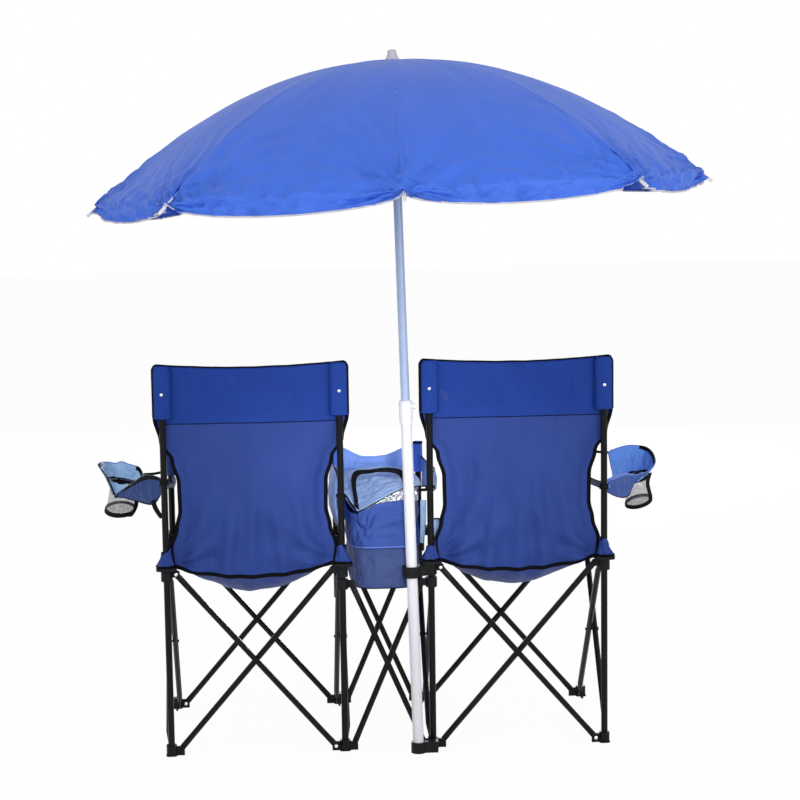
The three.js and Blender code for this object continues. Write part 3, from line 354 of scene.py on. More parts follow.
# A cloth grid: shape takes shares across and down and gives a place in the chairs' frame
def clothPiece(name, columns, rows, size, shape, finish, thickness=0.0012, closed=False):
    bm = bmesh.new()
    bm.loops.layers.uv.new("UVMap")
    bmesh.ops.create_grid(bm, x_segments=columns, y_segments=rows, size=0.5, calc_uvs=True)
    uvLayer = bm.loops.layers.uv.active
    for face in bm.faces:
        for loop in face.loops:
            loop[uvLayer].uv = (loop[uvLayer].uv[0] * size[0], loop[uvLayer].uv[1] * size[1])
    for vertex in bm.verts:
        vertex.co = at(*shape(vertex.co.x + 0.5, vertex.co.y + 0.5))
    if closed:
        bmesh.ops.remove_doubles(bm, verts=bm.verts, dist=0.00005)
    bmesh.ops.recalc_face_normals(bm, faces=bm.faces)
    piece = addPiece(name, bm, finish)
    if thickness:
        wall = piece.modifiers.new("thickness", "SOLIDIFY")
        wall.thickness = thickness
        wall.offset = 0
        wall.use_rim = True
    return piece


# Binding tape: a folded strip round an edge, thicker than the cloth, with a soft bevel
def tapePiece(name, steps, size, shape, finish="tape", thickness=0.0034, closed=False):
    piece = clothPiece(name, steps, 2, size, shape, finish, thickness, closed)
    soft = piece.modifiers.new("soft", "BEVEL")
    soft.width = thickness * 0.3
    soft.segments = 2
    soft.limit_method = "ANGLE"
    soft.angle_limit = math.radians(50)
    return piece


# A round cord through points, made a mesh
def cordPiece(name, points, radius, finish, closed=False):
    curve = bpy.data.curves.new(name, "CURVE")
    curve.dimensions = "3D"
    curve.bevel_depth = radius
    curve.bevel_resolution = 2
    spline = curve.splines.new("POLY")
    spline.points.add(len(points) - 1)
    for point, place in zip(spline.points, points):
        point.co = (*at(*place), 1)
    spline.use_cyclic_u = closed
    holder = bpy.data.objects.new(name + "_curve", curve)
    bpy.context.scene.collection.objects.link(holder)
    bpy.context.view_layer.update()
    mesh = bpy.data.meshes.new_from_object(holder.evaluated_get(bpy.context.evaluated_depsgraph_get()))
    bpy.data.objects.remove(holder)
    mesh.name = name
    mesh.materials.clear()
    mesh.materials.append(finishes[finish])
    if not mesh.uv_layers:
        mesh.uv_layers.new(name="UVMap")
    for polygon in mesh.polygons:
        polygon.use_smooth = True
    piece = bpy.data.objects.new(name, mesh)
    bpy.context.scene.collection.objects.link(piece)
    return piece


# Each piece gets its own mesh and is attached to the body
def foldAway(pieces, body, axis, anchor, keep):
    for piece in pieces:
        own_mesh(piece)
        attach(piece, body)


def foldDeep(pieces, body, keep):
    foldAway(pieces, body, (0, 1, 0), at(0, chair["depth"], 0), keep)


# Finishes of the rigid CAD pieces, by how their names start
frameFinishes = [
    (("rear_post", "arm_post", "rear_bar", "front_bar", "side_bar", "centre_"), "tube"),
    (("rear_hub", "front_foot", "rear_slider", "front_slider", "umbrella_ring", "umbrella_socket"), "plastic"),
    (("umbrella_lower_pole", "umbrella_ribs", "umbrella_stretchers"), "whiteSteel"),
    (("umbrella_upper_pole",), "shadedUpperSteel"),
    (("umbrella_collar", "umbrella_clamp_knob"), "whitePlastic"),
    (("umbrella_cap",), "capPlastic"),
]
for name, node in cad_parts.items():
    for starts, finish in frameFinishes:
        if name.startswith(starts):
            node.data.materials.clear()
            node.data.materials.append(finishes[finish])

# Umbrella canopy
canopy = {"foot": (0.062, -0.0345, 0.0036), "leanLeft": 0.0228, "leanForward": 0.0208, "crown": 1.488,
          "tilt": 0.034, "roll": 0.016, "turn": 0.048, "radius": 0.64, "drop": 0.269, "curve": 2.1,
          "inner": 0.016, "panels": 8, "columns": 52, "rows": 88, "valance": 0.036, "flatness": 0.8,
          "piping": 0.0019, "hemShare": 0.86,  # share of the rows above the rim
          "fan": 0.011, "fanWaves": 19, "fanReach": 0.1, "crumple": 0.0075, "crease": 0.018, "rimReach": 0.042,
          "billow": 0.0045}


def headMatrix():
    foot = Vector(canopy["foot"])
    axis = Vector((-canopy["leanLeft"], canopy["leanForward"], 1)).normalized()
    lean = Vector((0, 0, 1)).rotation_difference(axis).to_matrix().to_4x4()
    return (Matrix.Translation(foot) @ lean @ Matrix.Translation((0, 0, canopy["crown"]))
            @ Matrix.Rotation(-canopy["tilt"], 4, "X") @ Matrix.Rotation(-canopy["roll"], 4, "Y")
            @ Matrix.Rotation(-canopy["turn"], 4, "Z"))


headPlace = headMatrix()


# Folds that fan out from each rib's tip, and crumples along the rim
def canopyFold(turn, share, hang):
    panel = turn * canopy["panels"]
    nearest = round(panel)
    sideways = (panel - nearest) * 2 * math.pi / canopy["panels"] * canopy["radius"] * share
    upward = (1 - share) * canopy["radius"] * 1.12 - hang * canopy["valance"]
    reach = math.hypot(sideways, upward + 0.006)
    turnHere = math.atan2(sideways, upward + 0.012)
    seed = 7.3 * (nearest % canopy["panels"])
    wobble = softNoise(turnHere * 2.2, reach * 9, seed)
    wave = math.asin(math.sin(turnHere * canopy["fanWaves"] + wobble * 7 + seed)) * 0.64
    fan = wave * math.exp(-reach / canopy["fanReach"]) * ease(reach / 0.03)
    angle = turn * 2 * math.pi
    ring = Vector((math.cos(angle), math.sin(angle), 0)) * 7
    crumple = noise.fractal(ring * 2.6 + Vector((0, 0, upward * 26)), 0.6, 2.2, 4)
    crease = 0.3 - abs(noise.noise(ring * 3.3 + Vector((5, 0, upward * 34))))
    rim = math.exp(-max(upward, 0) / canopy["rimReach"])
    billow = noise.noise(ring * 0.35 + Vector((0, 0, upward * 2.2 + 3))) * canopy["billow"] * ease((1 - share) * 8)
    return fan * canopy["fan"] + (crumple * canopy["crumple"] + crease * canopy["crease"]) * rim + billow


def canopyPlace(turn, down):
    angle = turn * 2 * math.pi
    inner, hemShare = canopy["inner"] / canopy["radius"], canopy["hemShare"]
    share = between(inner, 1, min(down / hemShare, 1))
    half = math.pi / canopy["panels"]
    fromMiddle = ((turn * canopy["panels"]) % 1) * 2 * half - half
    flat = 1 - canopy["flatness"] * (1 - math.cos(half) / math.cos(fromMiddle))
    hang = max(down - hemShare, 0) / (1 - hemShare)
    scallop = max(abs(math.sin(turn * canopy["panels"] * math.pi)) ** 0.36, 0.02)
    fold = canopyFold(turn, share, hang)
    radius = canopy["radius"] * share * flat ** share + fold * (0.6 + 0.5 * hang)
    height = (-canopy["drop"] * share ** canopy["curve"] - hang * scallop * canopy["valance"]
              + fold * 0.7 * (1 - hang))
    return headPlace @ Vector((radius * math.cos(angle), radius * math.sin(angle), height))


def seamPlace(turn, a, b):
    return canopyPlace(turn + (b - 0.5) * 0.0016 / max(a, 0.08), a * canopy["hemShare"])


def makeCanopy():
    columns = canopy["columns"] * canopy["panels"]
    cloth = clothPiece("canopy_cloth", columns, canopy["rows"], (2 * math.pi * 0.62, 0.76),
                       lambda a, b: canopyPlace(a, 1 - (1 - b) ** 1.5), "canopy", 0.0008, closed=True)
    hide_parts("umbrella_canopy")
    piping = cordPiece("canopy_piping", [canopyPlace(i / columns, 1) for i in range(columns)],
                       canopy["piping"], "piping", closed=True)
    seams = [tapePiece(f"canopy_seam_{k}", 60, (0.7, 0.006),
                       lambda a, b: seamPlace(k / canopy["panels"], a, b), "canopy", 0.0016)
             for k in range(canopy["panels"])]
    for part in (cloth, piping, *seams):
        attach(part, "umbrella_upper")


makeCanopy()
print("canopy made")

# Slings; a fold has its place across, depth and width
back = {"top": 0.857, "topSag": 0.009, "pocketBottom": 0.742, "crease": 0.4207, "front": 0.0099,
        "belly": 0.026, "hemSag": 0.026, "seam": 0.728, "pocketHalf": 0.0205,
        "halves": [(0.42, 0.1775), (0.455, 0.181), (0.5, 0.168), (0.54, 0.16), (0.6, 0.161), (0.65, 0.174),
                   (0.69, 0.197), (0.742, 0.209), (0.846, 0.2095), (0.86, 0.201)],
        "folds": [(-0.66, 0.011, 0.075), (-0.34, 0.009, 0.06), (0.02, 0.010, 0.07), (0.34, 0.008, 0.055),
                  (0.68, 0.011, 0.075)],
        "cornerFan": 0.0055, "cornerWaves": 13, "unevenness": 0.009, "pull": 0.005}
seat = {"front": 0.3675, "sag": 0.0576, "frontSag": 0.024, "bow": 0.012, "edgeSag": 0.005, "split": 0.48,
        "unevenness": 0.004, "ripple": 0.0016}


def backPlace(centre, u, z):
    half = along(back["halves"], z)
    upper = ease((z - back["pocketBottom"]) / (back["top"] - back["pocketBottom"]))
    lower = ease((back["pocketBottom"] - z) / (back["pocketBottom"] - back["crease"]))
    width = 1 - u * u
    height = z - back["topSag"] * width * upper - back["hemSag"] * width * lower
    belly = back["belly"] * width * arch(min(max((z - 0.41) / 0.34, 0), 1))
    seed = centre * 10
    spread = between(1.0, 1.7, lower)
    fan = 0
    for middle, amount, thin in back["folds"]:
        place = (middle + 0.07 * math.sin(seed + middle * 9)) * (0.66 + 0.34 * lower)
        fan += amount * bell(u - place, thin * spread) * lower ** 1.2
    for end in (-1, 1):
        inward = (1 - end * u) * half
        turn = math.atan2(inward, z - back["crease"] + 0.004)
        reach = math.hypot(inward, z - back["crease"])
        fan += (math.sin(turn * back["cornerWaves"] + seed + end) * back["cornerFan"] * math.exp(-reach / 0.1)
                * ease(reach / 0.03))
    cloud = noise.fractal(Vector((u * 1.8 + seed, z * 5.5, seed)), 0.8, 2.1, 3)
    pull = softNoise(u * 6 + z * 9 + seed, z * 4, 2.0) * back["pull"] * upper
    y = back["front"] - belly - fan * 1.6 + cloud * back["unevenness"] * width - pull * width
    if abs(u) > 0.8:
        y = between(y, back["front"], ease((abs(u) - 0.8) / 0.12))
    return centre + u * half, y, height


def seatPlace(centre, u, t):
    width = 1 - u * u
    half = 0.1775 - seat["bow"] * arch(t)
    y = between(backPlace(centre, u, back["crease"])[1] - 0.0005, seat["front"], t)
    hem = (back["hemSag"] * (1 - t) + seat["frontSag"] * t) * width
    hollow = seat["sag"] * arch(t ** 0.8) * width ** 0.8
    edge = seat["edgeSag"] * arch(t) ** 2
    cloud = noise.fractal(Vector((u * 2 + centre * 7, t * 3, 5.0)), 0.8, 2.1, 3) * seat["unevenness"] * width
    ripple = math.sin(u * 21 + 3 * softNoise(t * 3, centre * 5, 1)) * seat["ripple"] * width * (1 - t) ** 2
    start = ease(t * 8)
    z = back["crease"] + 0.003 * (1 - start) - hem - hollow - edge + (cloud + ripple) * start
    return centre + u * half, y, z


def tapeReach(end, b):  # how far a binding reaches in from a cloth's side edge
    return -end * 0.0085 * b + end * 0.001


def makeSling(side):
    centre = (innerX + outerX) / 2 * side
    word = "right" if side > 0 else "left"
    rear = f"{word}_inner_rear"
    fold = ((1, 0, 0), at(side * innerX, 0, 0.5), 0.22)
    deep = back["top"] - back["crease"]

    def backAt(u, height, **shift):
        return shifted(backPlace(centre, u, height), **shift)

    def bandAt(a, b):
        billow = 0.0035 * softNoise(a * 14 + b * 2, b * 1.6, centre * 9)
        return backAt((2 * a - 1) * 0.9, between(back["seam"], back["top"] - 0.002, b),
                      y=-0.0016 - 0.0012 * arch(b) + billow * arch(b))

    panel = clothPiece(f"back_panel_{word}", 96, 120, (0.42, deep),
                       lambda a, b: backAt(2 * a - 1, back["crease"] + deep * b), "seat", 0.0014)
    band = clothPiece(f"head_band_{word}", 80, 34, (0.42, 0.13), bandAt, "band", 0.0012)
    parts = [panel, band,
             tapePiece(f"back_tape_top_{word}", 90, (0.42, 0.012),
                       lambda a, b: backAt(2 * a - 1, back["top"] + 0.0015 - 0.010 * b)),
             tapePiece(f"back_tape_hem_{word}", 90, (0.42, 0.012),
                       lambda a, b: backAt(2 * a - 1, back["crease"], y=0.003 * b - 0.002, z=0.003 - 0.0085 * b))]
    for end, name in ((-1, "left"), (1, "right")):
        parts.append(tapePiece(f"back_tape_side_{name}_{word}", 90, (0.42, 0.012),
                               lambda a, b: backAt(end, back["crease"] + deep * a, x=tapeReach(end, b))))
    parts.append(tapePiece(f"back_seam_{word}", 80, (0.38, 0.002),
                           lambda a, b: backAt((2 * a - 1) * 0.88, back["seam"] + 0.0016 * b, y=-0.0021),
                           "tape", 0.0006))
    foldAway(parts, rear, *fold)
    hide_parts(f"sling_{word}")
    for key, low, high, bar, size, rest in (
            ("rear", 0, seat["split"], "front", (0.36, 0.19), "rear_hub"),
            ("front", seat["split"], 1, "rear", (0.36, 0.205), "arm_post")):
        half = clothPiece(f"seat_{key}_{word}", 80, 44, (0.36, 0.19),
                          lambda a, b: seatPlace(centre, 2 * a - 1, between(low, high, b)), "seat", 0.0016)
        pieces = [half]
        for end, name in ((-1, "left"), (1, "right")):
            pieces.append(tapePiece(f"seat_tape_{key}_{name}_{word}", 40, (0.19, 0.012),
                                    lambda a, b: shifted(seatPlace(centre, end, between(low, high, a)),
                                                         tapeReach(end, b))))
        if key == "front":
            pieces.append(tapePiece(f"seat_tape_front_{word}", 80, (0.36, 0.012),
                                    lambda a, b: shifted(seatPlace(centre, 2 * a - 1, 1), y=0.001 - 0.010 * b)))
        foldAway(pieces, f"side_bar_{bar}_{word}_inner", *fold)
    for corner, inward, body in (("inner", side, rear), ("outer", -side, f"{word}_outer_rear")):
        makePocket(f"{word}_{corner}", cornerX[f"{word}_{corner}"], inward, body)


# The seat's corners are gathered round the rear posts above the hubs
def wrapPlace(x, outward, a, b):
    angle = 2 * math.pi * a
    side = math.cos(angle) * outward
    wide = between(0.0155, 0.0098, ease(b * 1.2)) + 0.0065 * ease(side) * (1 - b) ** 1.5
    ridge = 0.0012 * math.sin(angle * 6 + b * 4 + x * 20) * (1 - 0.6 * b)
    z = between(0.4195, 0.456, b) + (0.004 * math.sin(angle * 2 + x * 9) - 0.008 * ease(side)) * b
    return x + (wide + ridge) * math.cos(angle), (0.0125 + ridge) * math.sin(angle), z


def makeWraps():
    for word, x in cornerX.items():
        outward = -1 if word in ("left_outer", "right_inner") else 1
        wrap = clothPiece(f"seat_corner_{word}", 60, 20, (0.09, 0.04),
                          lambda a, b: wrapPlace(x, outward, a, b), "seat", 0.0016, closed=True)
        tape = tapePiece(f"seat_corner_tape_{word}", 60, (0.09, 0.004),
                         lambda a, b: wrapPlace(x, outward, a, 0.1 * b), thickness=0.003, closed=True)
        for piece in (wrap, tape):
            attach(piece, f"hub_{word}")


# The pocket wraps behind the post, with its rivet
def makePocket(word, x, inward, body):
    depth = chair["postRadius"] + 0.0022

    def pocketPlace(a, b):
        angle = math.pi * a
        z = between(back["pocketBottom"], back["top"] - 0.001, b)
        soft = softNoise(a * 3, z * 30, x * 9) * 0.0008
        return (x - math.cos(angle) * back["pocketHalf"] * (1 - 0.3 * ease((z - 0.845) / 0.013)),
                back["front"] - 0.001 - (depth + back["front"]) * math.sin(angle) ** 0.55 + soft, z)

    pocket = clothPiece(f"pocket_{word}", 28, 30, (0.06, 0.115), pocketPlace, "band", 0.0012)
    mouth = tapePiece(f"pocket_mouth_{word}", 28, (0.06, 0.005),
                      lambda a, b: shifted(pocketPlace(a, 0.004 + 0.035 * b), y=-0.0003), "band", 0.0022)
    end = 0 if inward > 0 else 1  # the binding is on the chair's outer edge
    binding = tapePiece(f"pocket_edge_{end}_{word}", 40, (0.115, 0.006),
                        lambda a, b: shifted(pocketPlace(abs(end - 0.2 * b), a), y=-0.0003, z=0.001 * a),
                        thickness=0.0026)
    bm = bmesh.new()
    bmesh.ops.create_uvsphere(bm, u_segments=20, v_segments=10, radius=0.0036)
    bmesh.ops.scale(bm, verts=bm.verts, vec=(1, 0.45, 1))
    bmesh.ops.translate(bm, verts=bm.verts, vec=at(x, -depth - 0.0012, 0.795))
    rivet = addPiece(f"pocket_rivet_{word}", bm, "steel")
    for piece in (pocket, mouth, binding, rivet):
        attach(piece, body)


for side in (-1, 1):
    makeSling(side)
makeWraps()
print("slings made")


# Steel rivet heads on the scissor bars' ends
rivets = {"radius": 0.0041, "out": 0.0103}


def addDomes(name, places, facing):
    bm = bmesh.new()
    turn = Vector((0, 0, 1)).rotation_difference(facing).to_matrix().to_4x4()
    squeeze = Matrix.Diagonal((1, 1, 0.4, 1))
    for place in places:
        bmesh.ops.create_uvsphere(bm, u_segments=16, v_segments=8, radius=rivets["radius"],
                                  matrix=Matrix.Translation(place) @ turn @ squeeze)
    return addPiece(name, bm, "steel")


def makeRivets():
    reach = chair["pivotReach"]
    for word, (lowCorner, highCorner) in (("left", ("outer", "inner")), ("right", ("inner", "outer"))):
        low, high = cornerX[f"{word}_{lowCorner}"] + reach, cornerX[f"{word}_{highCorner}"] - reach
        for row, y, way in (("rear", 0, -1), ("front", chair["depth"], 1)):
            for corner, foot, head, turned in ((lowCorner, low, high, -1), (highCorner, high, low, 1)):
                offset = way * turned * rivets["out"]
                places = [at(foot, y + offset, chair["pivotHeight"]), at(head, y + offset, chair["hubHeight"])]
                piece = addDomes(f"rivets_{row}_{word}_{corner}", places, Vector((0, offset, 0)).normalized())
                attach(piece, f"{row}_bar_{word}_{corner}")


makeRivets()
print("rivets made")


# Smooth curves and surfaces through rows of points in millimetres
def curveAt(points, t, closed=False):
    count = len(points)
    place = t * (count if closed else count - 1)
    i = min(int(place), count - 1 if closed else count - 2)
    f = place - i

    def pick(k):
        return Vector(points[k % count] if closed else points[min(max(k, 0), count - 1)])

    a, b, c, d = pick(i - 1), pick(i), pick(i + 1), pick(i + 2)
    return 0.5 * (2 * b + (c - a) * f + (2 * a - 5 * b + 4 * c - d) * f * f
                  + (3 * b - a - 3 * c + d) * f ** 3)


def surfaceAt(rows, a, b):
    return curveAt([tuple(curveAt(row, a)) for row in rows], b)


def metres(point, x=0, y=0, z=0):
    return point[0] / 1000 + x, point[1] / 1000 + y, point[2] / 1000 + z


def scaled(shape, *given):  # a shape in millimetres as one in metres
    return lambda a, b: metres(shape(*given, a, b))


def wrinkle(place, scale, seed, amount):
    spot = Vector((place[0] * scale, place[1] * scale, place[2] * scale * 0.6 + seed))
    return noise.fractal(spot, 0.7, 2.1, 3) * amount


# Outer arms: a lobe round the cup's hole, a hanging side and straps to both posts
arms = {
    "left": {
        "hole": (-579, 318, 551), "slope": (-0.2, -0.05), "radius": 32, "ridges": 0.8, "seed": 3.0,
        # The lobe's cloth is the lit copy of the arm cloth: painted light
        "cloth": "armLeft",
        "black": (0.7, 1.44), "width": 8, "topBand": 0.2, "side": "wing", "bandFinish": "tape",
        "outline": [(-482, 6, 611), (-515, 60, 611), (-537, 110, 593), (-556, 150, 574), (-577, 195, 554),
                    (-596, 236, 535), (-607, 256, 553), (-617, 273, 571), (-628, 290, 586), (-635, 306, 594),
                    (-632, 350, 592), (-619, 382, 587), (-602, 391, 582), (-588, 395, 585), (-572, 394, 579),
                    (-558, 392, 575), (-547, 388, 571), (-539, 372, 562), (-536, 320, 558), (-528, 240, 566),
                    (-508, 120, 588), (-486, 10, 596)],
        "wing": [[(-481, 7, 613), (-515, 60, 609), (-556, 150, 571), (-577, 195, 552), (-596, 236, 533)],
                 [(-482, 8, 595), (-513, 60, 582), (-556, 150, 558), (-577, 197, 545), (-597, 238, 532)],
                 [(-483, 8, 576), (-503, 60, 545), (-547, 150, 538), (-575, 200, 536), (-597, 239, 530)]],
        "strap": (599, 611), "net": {"centre": (-590, 318, 484), "slope": (0.0, 0.3), "radius": 34},
        "loop": [(-554, 283, 545), (-551, 284, 524), (-551, 288, 504), (-557, 286, 488), (-566, 284, 476)],
        "tie": [(-501, 44, 558), (-497, 30, 546), (-489, 14, 535), (-481, 5, 526)],
        "front": [(-537, 368, 558), (-512, 373, 558), (-486, 377, 562)],
        "inner": [[(-478, 8, 606), (-466, 60, 594), (-459, 150, 574), (-459, 230, 562), (-464, 320, 558),
                   (-472, 369, 556)],
                  [(-478, 8, 576), (-468, 60, 580), (-460, 150, 566), (-460, 230, 554), (-465, 320, 546),
                   (-472, 369, 540)]],
    },
    "right": {
        # The lobe's cloth is the shaded copy of the arm cloth: painted shade
        "hole": (592, 318, 535), "slope": (0.2, 0.0), "radius": 31, "ridges": 2.6, "seed": 8.0, "cloth": "armRight",
        # Painted light: this side takes the lighter side cloth, and its side band in blue binding is a painted
        # highlight along the fold
        "black": (0.29, 0.48), "width": 7, "topBand": 0.12, "side": "wingRight", "bandFinish": "hemCloth",
        "outline": [(482, 6, 584), (511, 60, 583), (542, 130, 577), (570, 190, 561), (596, 236, 553),
                    (618, 262, 556), (637, 300, 566), (642, 332, 576), (640, 365, 585), (630, 386, 591),
                    (607, 392, 594), (588, 393, 594), (570, 389, 591), (554, 380, 588), (541, 370, 584),
                    (536, 330, 577), (531, 270, 566), (526, 215, 558), (506, 120, 562), (486, 9, 568)],
        "wing": [[(482, 7, 584), (511, 60, 582), (542, 130, 576), (572, 192, 560), (617, 260, 556)],
                 [(483, 8, 568), (513, 60, 556), (546, 135, 548), (574, 198, 550), (615, 260, 553)],
                 [(484, 8, 556), (516, 62, 534), (549, 137, 522), (575, 202, 541), (613, 260, 550)]],
        "strap": (566, 578), "net": {"centre": (603, 318, 471), "slope": (0.26, 0.22), "radius": 30},
        "loop": [(626, 296, 545), (619, 290, 524), (622, 288, 504), (625, 286, 488), (618, 283, 474)],
        "front": [(541, 368, 582), (512, 374, 584), (486, 377, 590)],
        "inner": [[(478, 8, 582), (470, 60, 574), (464, 150, 566), (461, 230, 560), (466, 320, 562),
                   (472, 369, 566)],
                  [(478, 8, 562), (471, 60, 558), (465, 150, 550), (462, 230, 544), (467, 320, 546),
                   (472, 369, 550)]],
    },
}


def holeHeight(arm, x, y):
    cx, cy, cz = arm["hole"]
    return cz + arm["slope"][0] * (x - cx) + arm["slope"][1] * (y - cy)


def lobePlace(arm, s, b):
    p = curveAt(arm["outline"], s % 1, closed=True)
    cx, cy, _ = arm["hole"]
    angle = math.atan2(p.y - cy, p.x - cx)
    qx, qy = cx + arm["radius"] * math.cos(angle), cy + arm["radius"] * math.sin(angle)
    q = Vector((qx, qy, holeHeight(arm, qx, qy)))
    reach = (p - q).length
    place = p.lerp(q, b)
    swell = arch(b)
    place.z -= swell * min(reach, 120) * 0.10
    fold = math.sin(angle * 9 + 4 * softNoise(angle * 2, b * 2, arm["seed"]))
    place.z += swell * (fold * 1.6 + wrinkle(place, 0.045, arm["seed"], 5.5))
    inward = abs(place.x) * 0.9 - place.y * 0.435
    ridge = math.sin(inward * 0.42 + wrinkle(place, 0.02, 2.0, 3.0))
    place.z += swell * arm["ridges"] * ridge * bell(inward - 400, 26)
    return place


def lobeInset(arm, s, b, width, fromHole=False):
    p, q = lobePlace(arm, s, 0), lobePlace(arm, s, 1)
    share = width / max((p - q).length, 1)
    return metres(lobePlace(arm, s, 1 - share * b if fromHole else share * b))


def wingPlace(arm, a, b):
    place = surfaceAt(arm["wing"], a, b)
    place.x += wrinkle(place, 0.03, arm["seed"], 5.0) * arch(b) * arch(min(a * 2, 1) / 2)
    return place


def netPlace(arm, a, b):
    angle = 2 * math.pi * a
    hx, hy, _ = arm["hole"]
    nx, ny, nz = arm["net"]["centre"]
    radius = between(arm["radius"] - 1, arm["net"]["radius"], b) - 2.5 * arch(b)
    x, y = radius * math.cos(angle), radius * math.sin(angle)
    high = holeHeight(arm, hx + x, hy + y) - 1
    low = nz + arm["net"]["slope"][0] * x + arm["net"]["slope"][1] * y
    return between(hx, nx, b) + x, between(hy, ny, b) + y, between(high, low, b)


def netFloor(arm, a, b):
    x, y, z = netPlace(arm, a, 1)
    nx, ny, nz = arm["net"]["centre"]
    return between(x, nx, b), between(y, ny, b), between(z, nz, b) - 5 * arch(b / 2)


def sleevePlace(x, y, low, high, proud, a, b):  # cloth or strap round a post
    angle = 2 * math.pi * a
    soft = softNoise(math.cos(angle) * 2, math.sin(angle) * 2, b * 3 + x * 20) * 0.0006
    radius = chair["postRadius"] + proud + soft
    return x + radius * math.cos(angle), y + radius * math.sin(angle), between(low, high, b)


def makeArm(word):
    arm = arms[word]
    x = cornerX[f"{word}_outer"]
    body = f"arm_post_{word}_outer"
    lobe = clothPiece(f"arm_lobe_{word}", 220, 26, (0.95, 0.12), scaled(lobePlace, arm), arm["cloth"], 0.0014,
                      closed=True)
    wing = clothPiece(f"arm_side_{word}", 70, 22, (0.27, 0.07), scaled(wingPlace, arm), arm["side"], 0.0014)
    start, end = arm["black"]
    inner = clothPiece(f"arm_inner_{word}", 70, 12, (0.38, 0.03), scaled(surfaceAt, arm["inner"]), "wing", 0.0014)
    pieces = [
        lobe, wing, inner,
        tapePiece(f"arm_edge_{word}", 200, (0.7, 0.012),
                  lambda a, b: lobeInset(arm, between(start, end, a), b, arm["width"])),
        tapePiece(f"arm_far_edge_{word}", 120, (0.4, 0.004),
                  lambda a, b: lobeInset(arm, between(end - 0.01, start + 1.01, a), b, 2.2), "hemCloth", 0.002),
        tapePiece(f"arm_hole_edge_{word}", 90, (0.24, 0.008),
                  lambda a, b: lobeInset(arm, a, b, 6.0, True), thickness=0.003, closed=True),
        # A black webbing ring inside the net's top: partly its binding, partly painted shade inside the cup
        tapePiece(f"cup_net_shade_collar_{word}", 90, (0.24, 0.012),
                  lambda a, b: metres(netPlace(arm, a, 0.16 * b)), "webbing", 0.002, closed=True),
        tapePiece(f"arm_side_edge_{word}", 70, (0.27, 0.005),
                  lambda a, b: metres(wingPlace(arm, a, 1 - 0.07 * b)), thickness=0.0028),
        clothPiece(f"cup_net_cloth_{word}", 90, 30, (0.24, 0.085), scaled(netPlace, arm), "net", 0, closed=True),
        tapePiece(f"cup_net_ring_{word}", 90, (0.23, 0.011),
                  lambda a, b: metres(netPlace(arm, a, 1.0 - 0.125 * b)), "webbing", 0.004, closed=True),
        clothPiece(f"cup_net_floor_{word}", 60, 8, (0.22, 0.035), scaled(netFloor, arm), "blackNet", 0,
                   closed=True),
        tapePiece(f"cup_loop_{word}", 40, (0.11, 0.009),
                  lambda a, b: metres(curveAt(arm["loop"], a), y=0.004 * (b - 0.5), x=0.009 * (b - 0.5)),
                  "webbing", 0.0022),
        tapePiece(f"arm_side_band_{word}", 70, (0.27, 0.008),
                  lambda a, b: metres(wingPlace(arm, a, arm["topBand"] * b), y=-0.0004),
                  arm["bandFinish"], 0.0028),
        tapePiece(f"arm_inner_edge_{word}", 70, (0.38, 0.007),
                  lambda a, b: metres(surfaceAt(arm["inner"], a, 0.22 * b))),
        tapePiece(f"arm_front_strap_{word}", 24, (0.06, 0.008),
                  lambda a, b: metres(curveAt(arm["front"], a), z=0.006 * (b - 0.5)), "webbing", 0.0016),
    ]
    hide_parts(f"arm_{word}")
    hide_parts(f"cup_net_{word}")
    sleeve = clothPiece(f"arm_sleeve_{word}", 28, 16, (0.055, 0.05),
                        lambda a, b: sleevePlace(x, chair["depth"], 0.552, 0.6055, 0.0016, a, b),
                        "wing", 0.0014, closed=True)
    foldDeep(pieces, body, 0.25)
    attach(sleeve, body)
    low, high = arm["strap"]
    straps = [tapePiece(f"arm_strap_{word}", 40, (0.06, 0.022),
                        lambda a, b: sleevePlace(x, 0, low / 1000, high / 1000, 0.0022, a, b),
                        "webbing", 0.0018, closed=True)]
    if "tie" in arm:
        straps.append(tapePiece(f"arm_tie_{word}", 30, (0.06, 0.008),
                                lambda a, b: metres(curveAt(arm["tie"], a), z=0.003 * (b - 0.5), x=0.010 * (b - 0.5)),
                                "webbing", 0.002))
    for piece in straps:
        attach(piece, f"{word}_outer_rear")


for word in ("left", "right"):
    makeArm(word)
print("arms made")

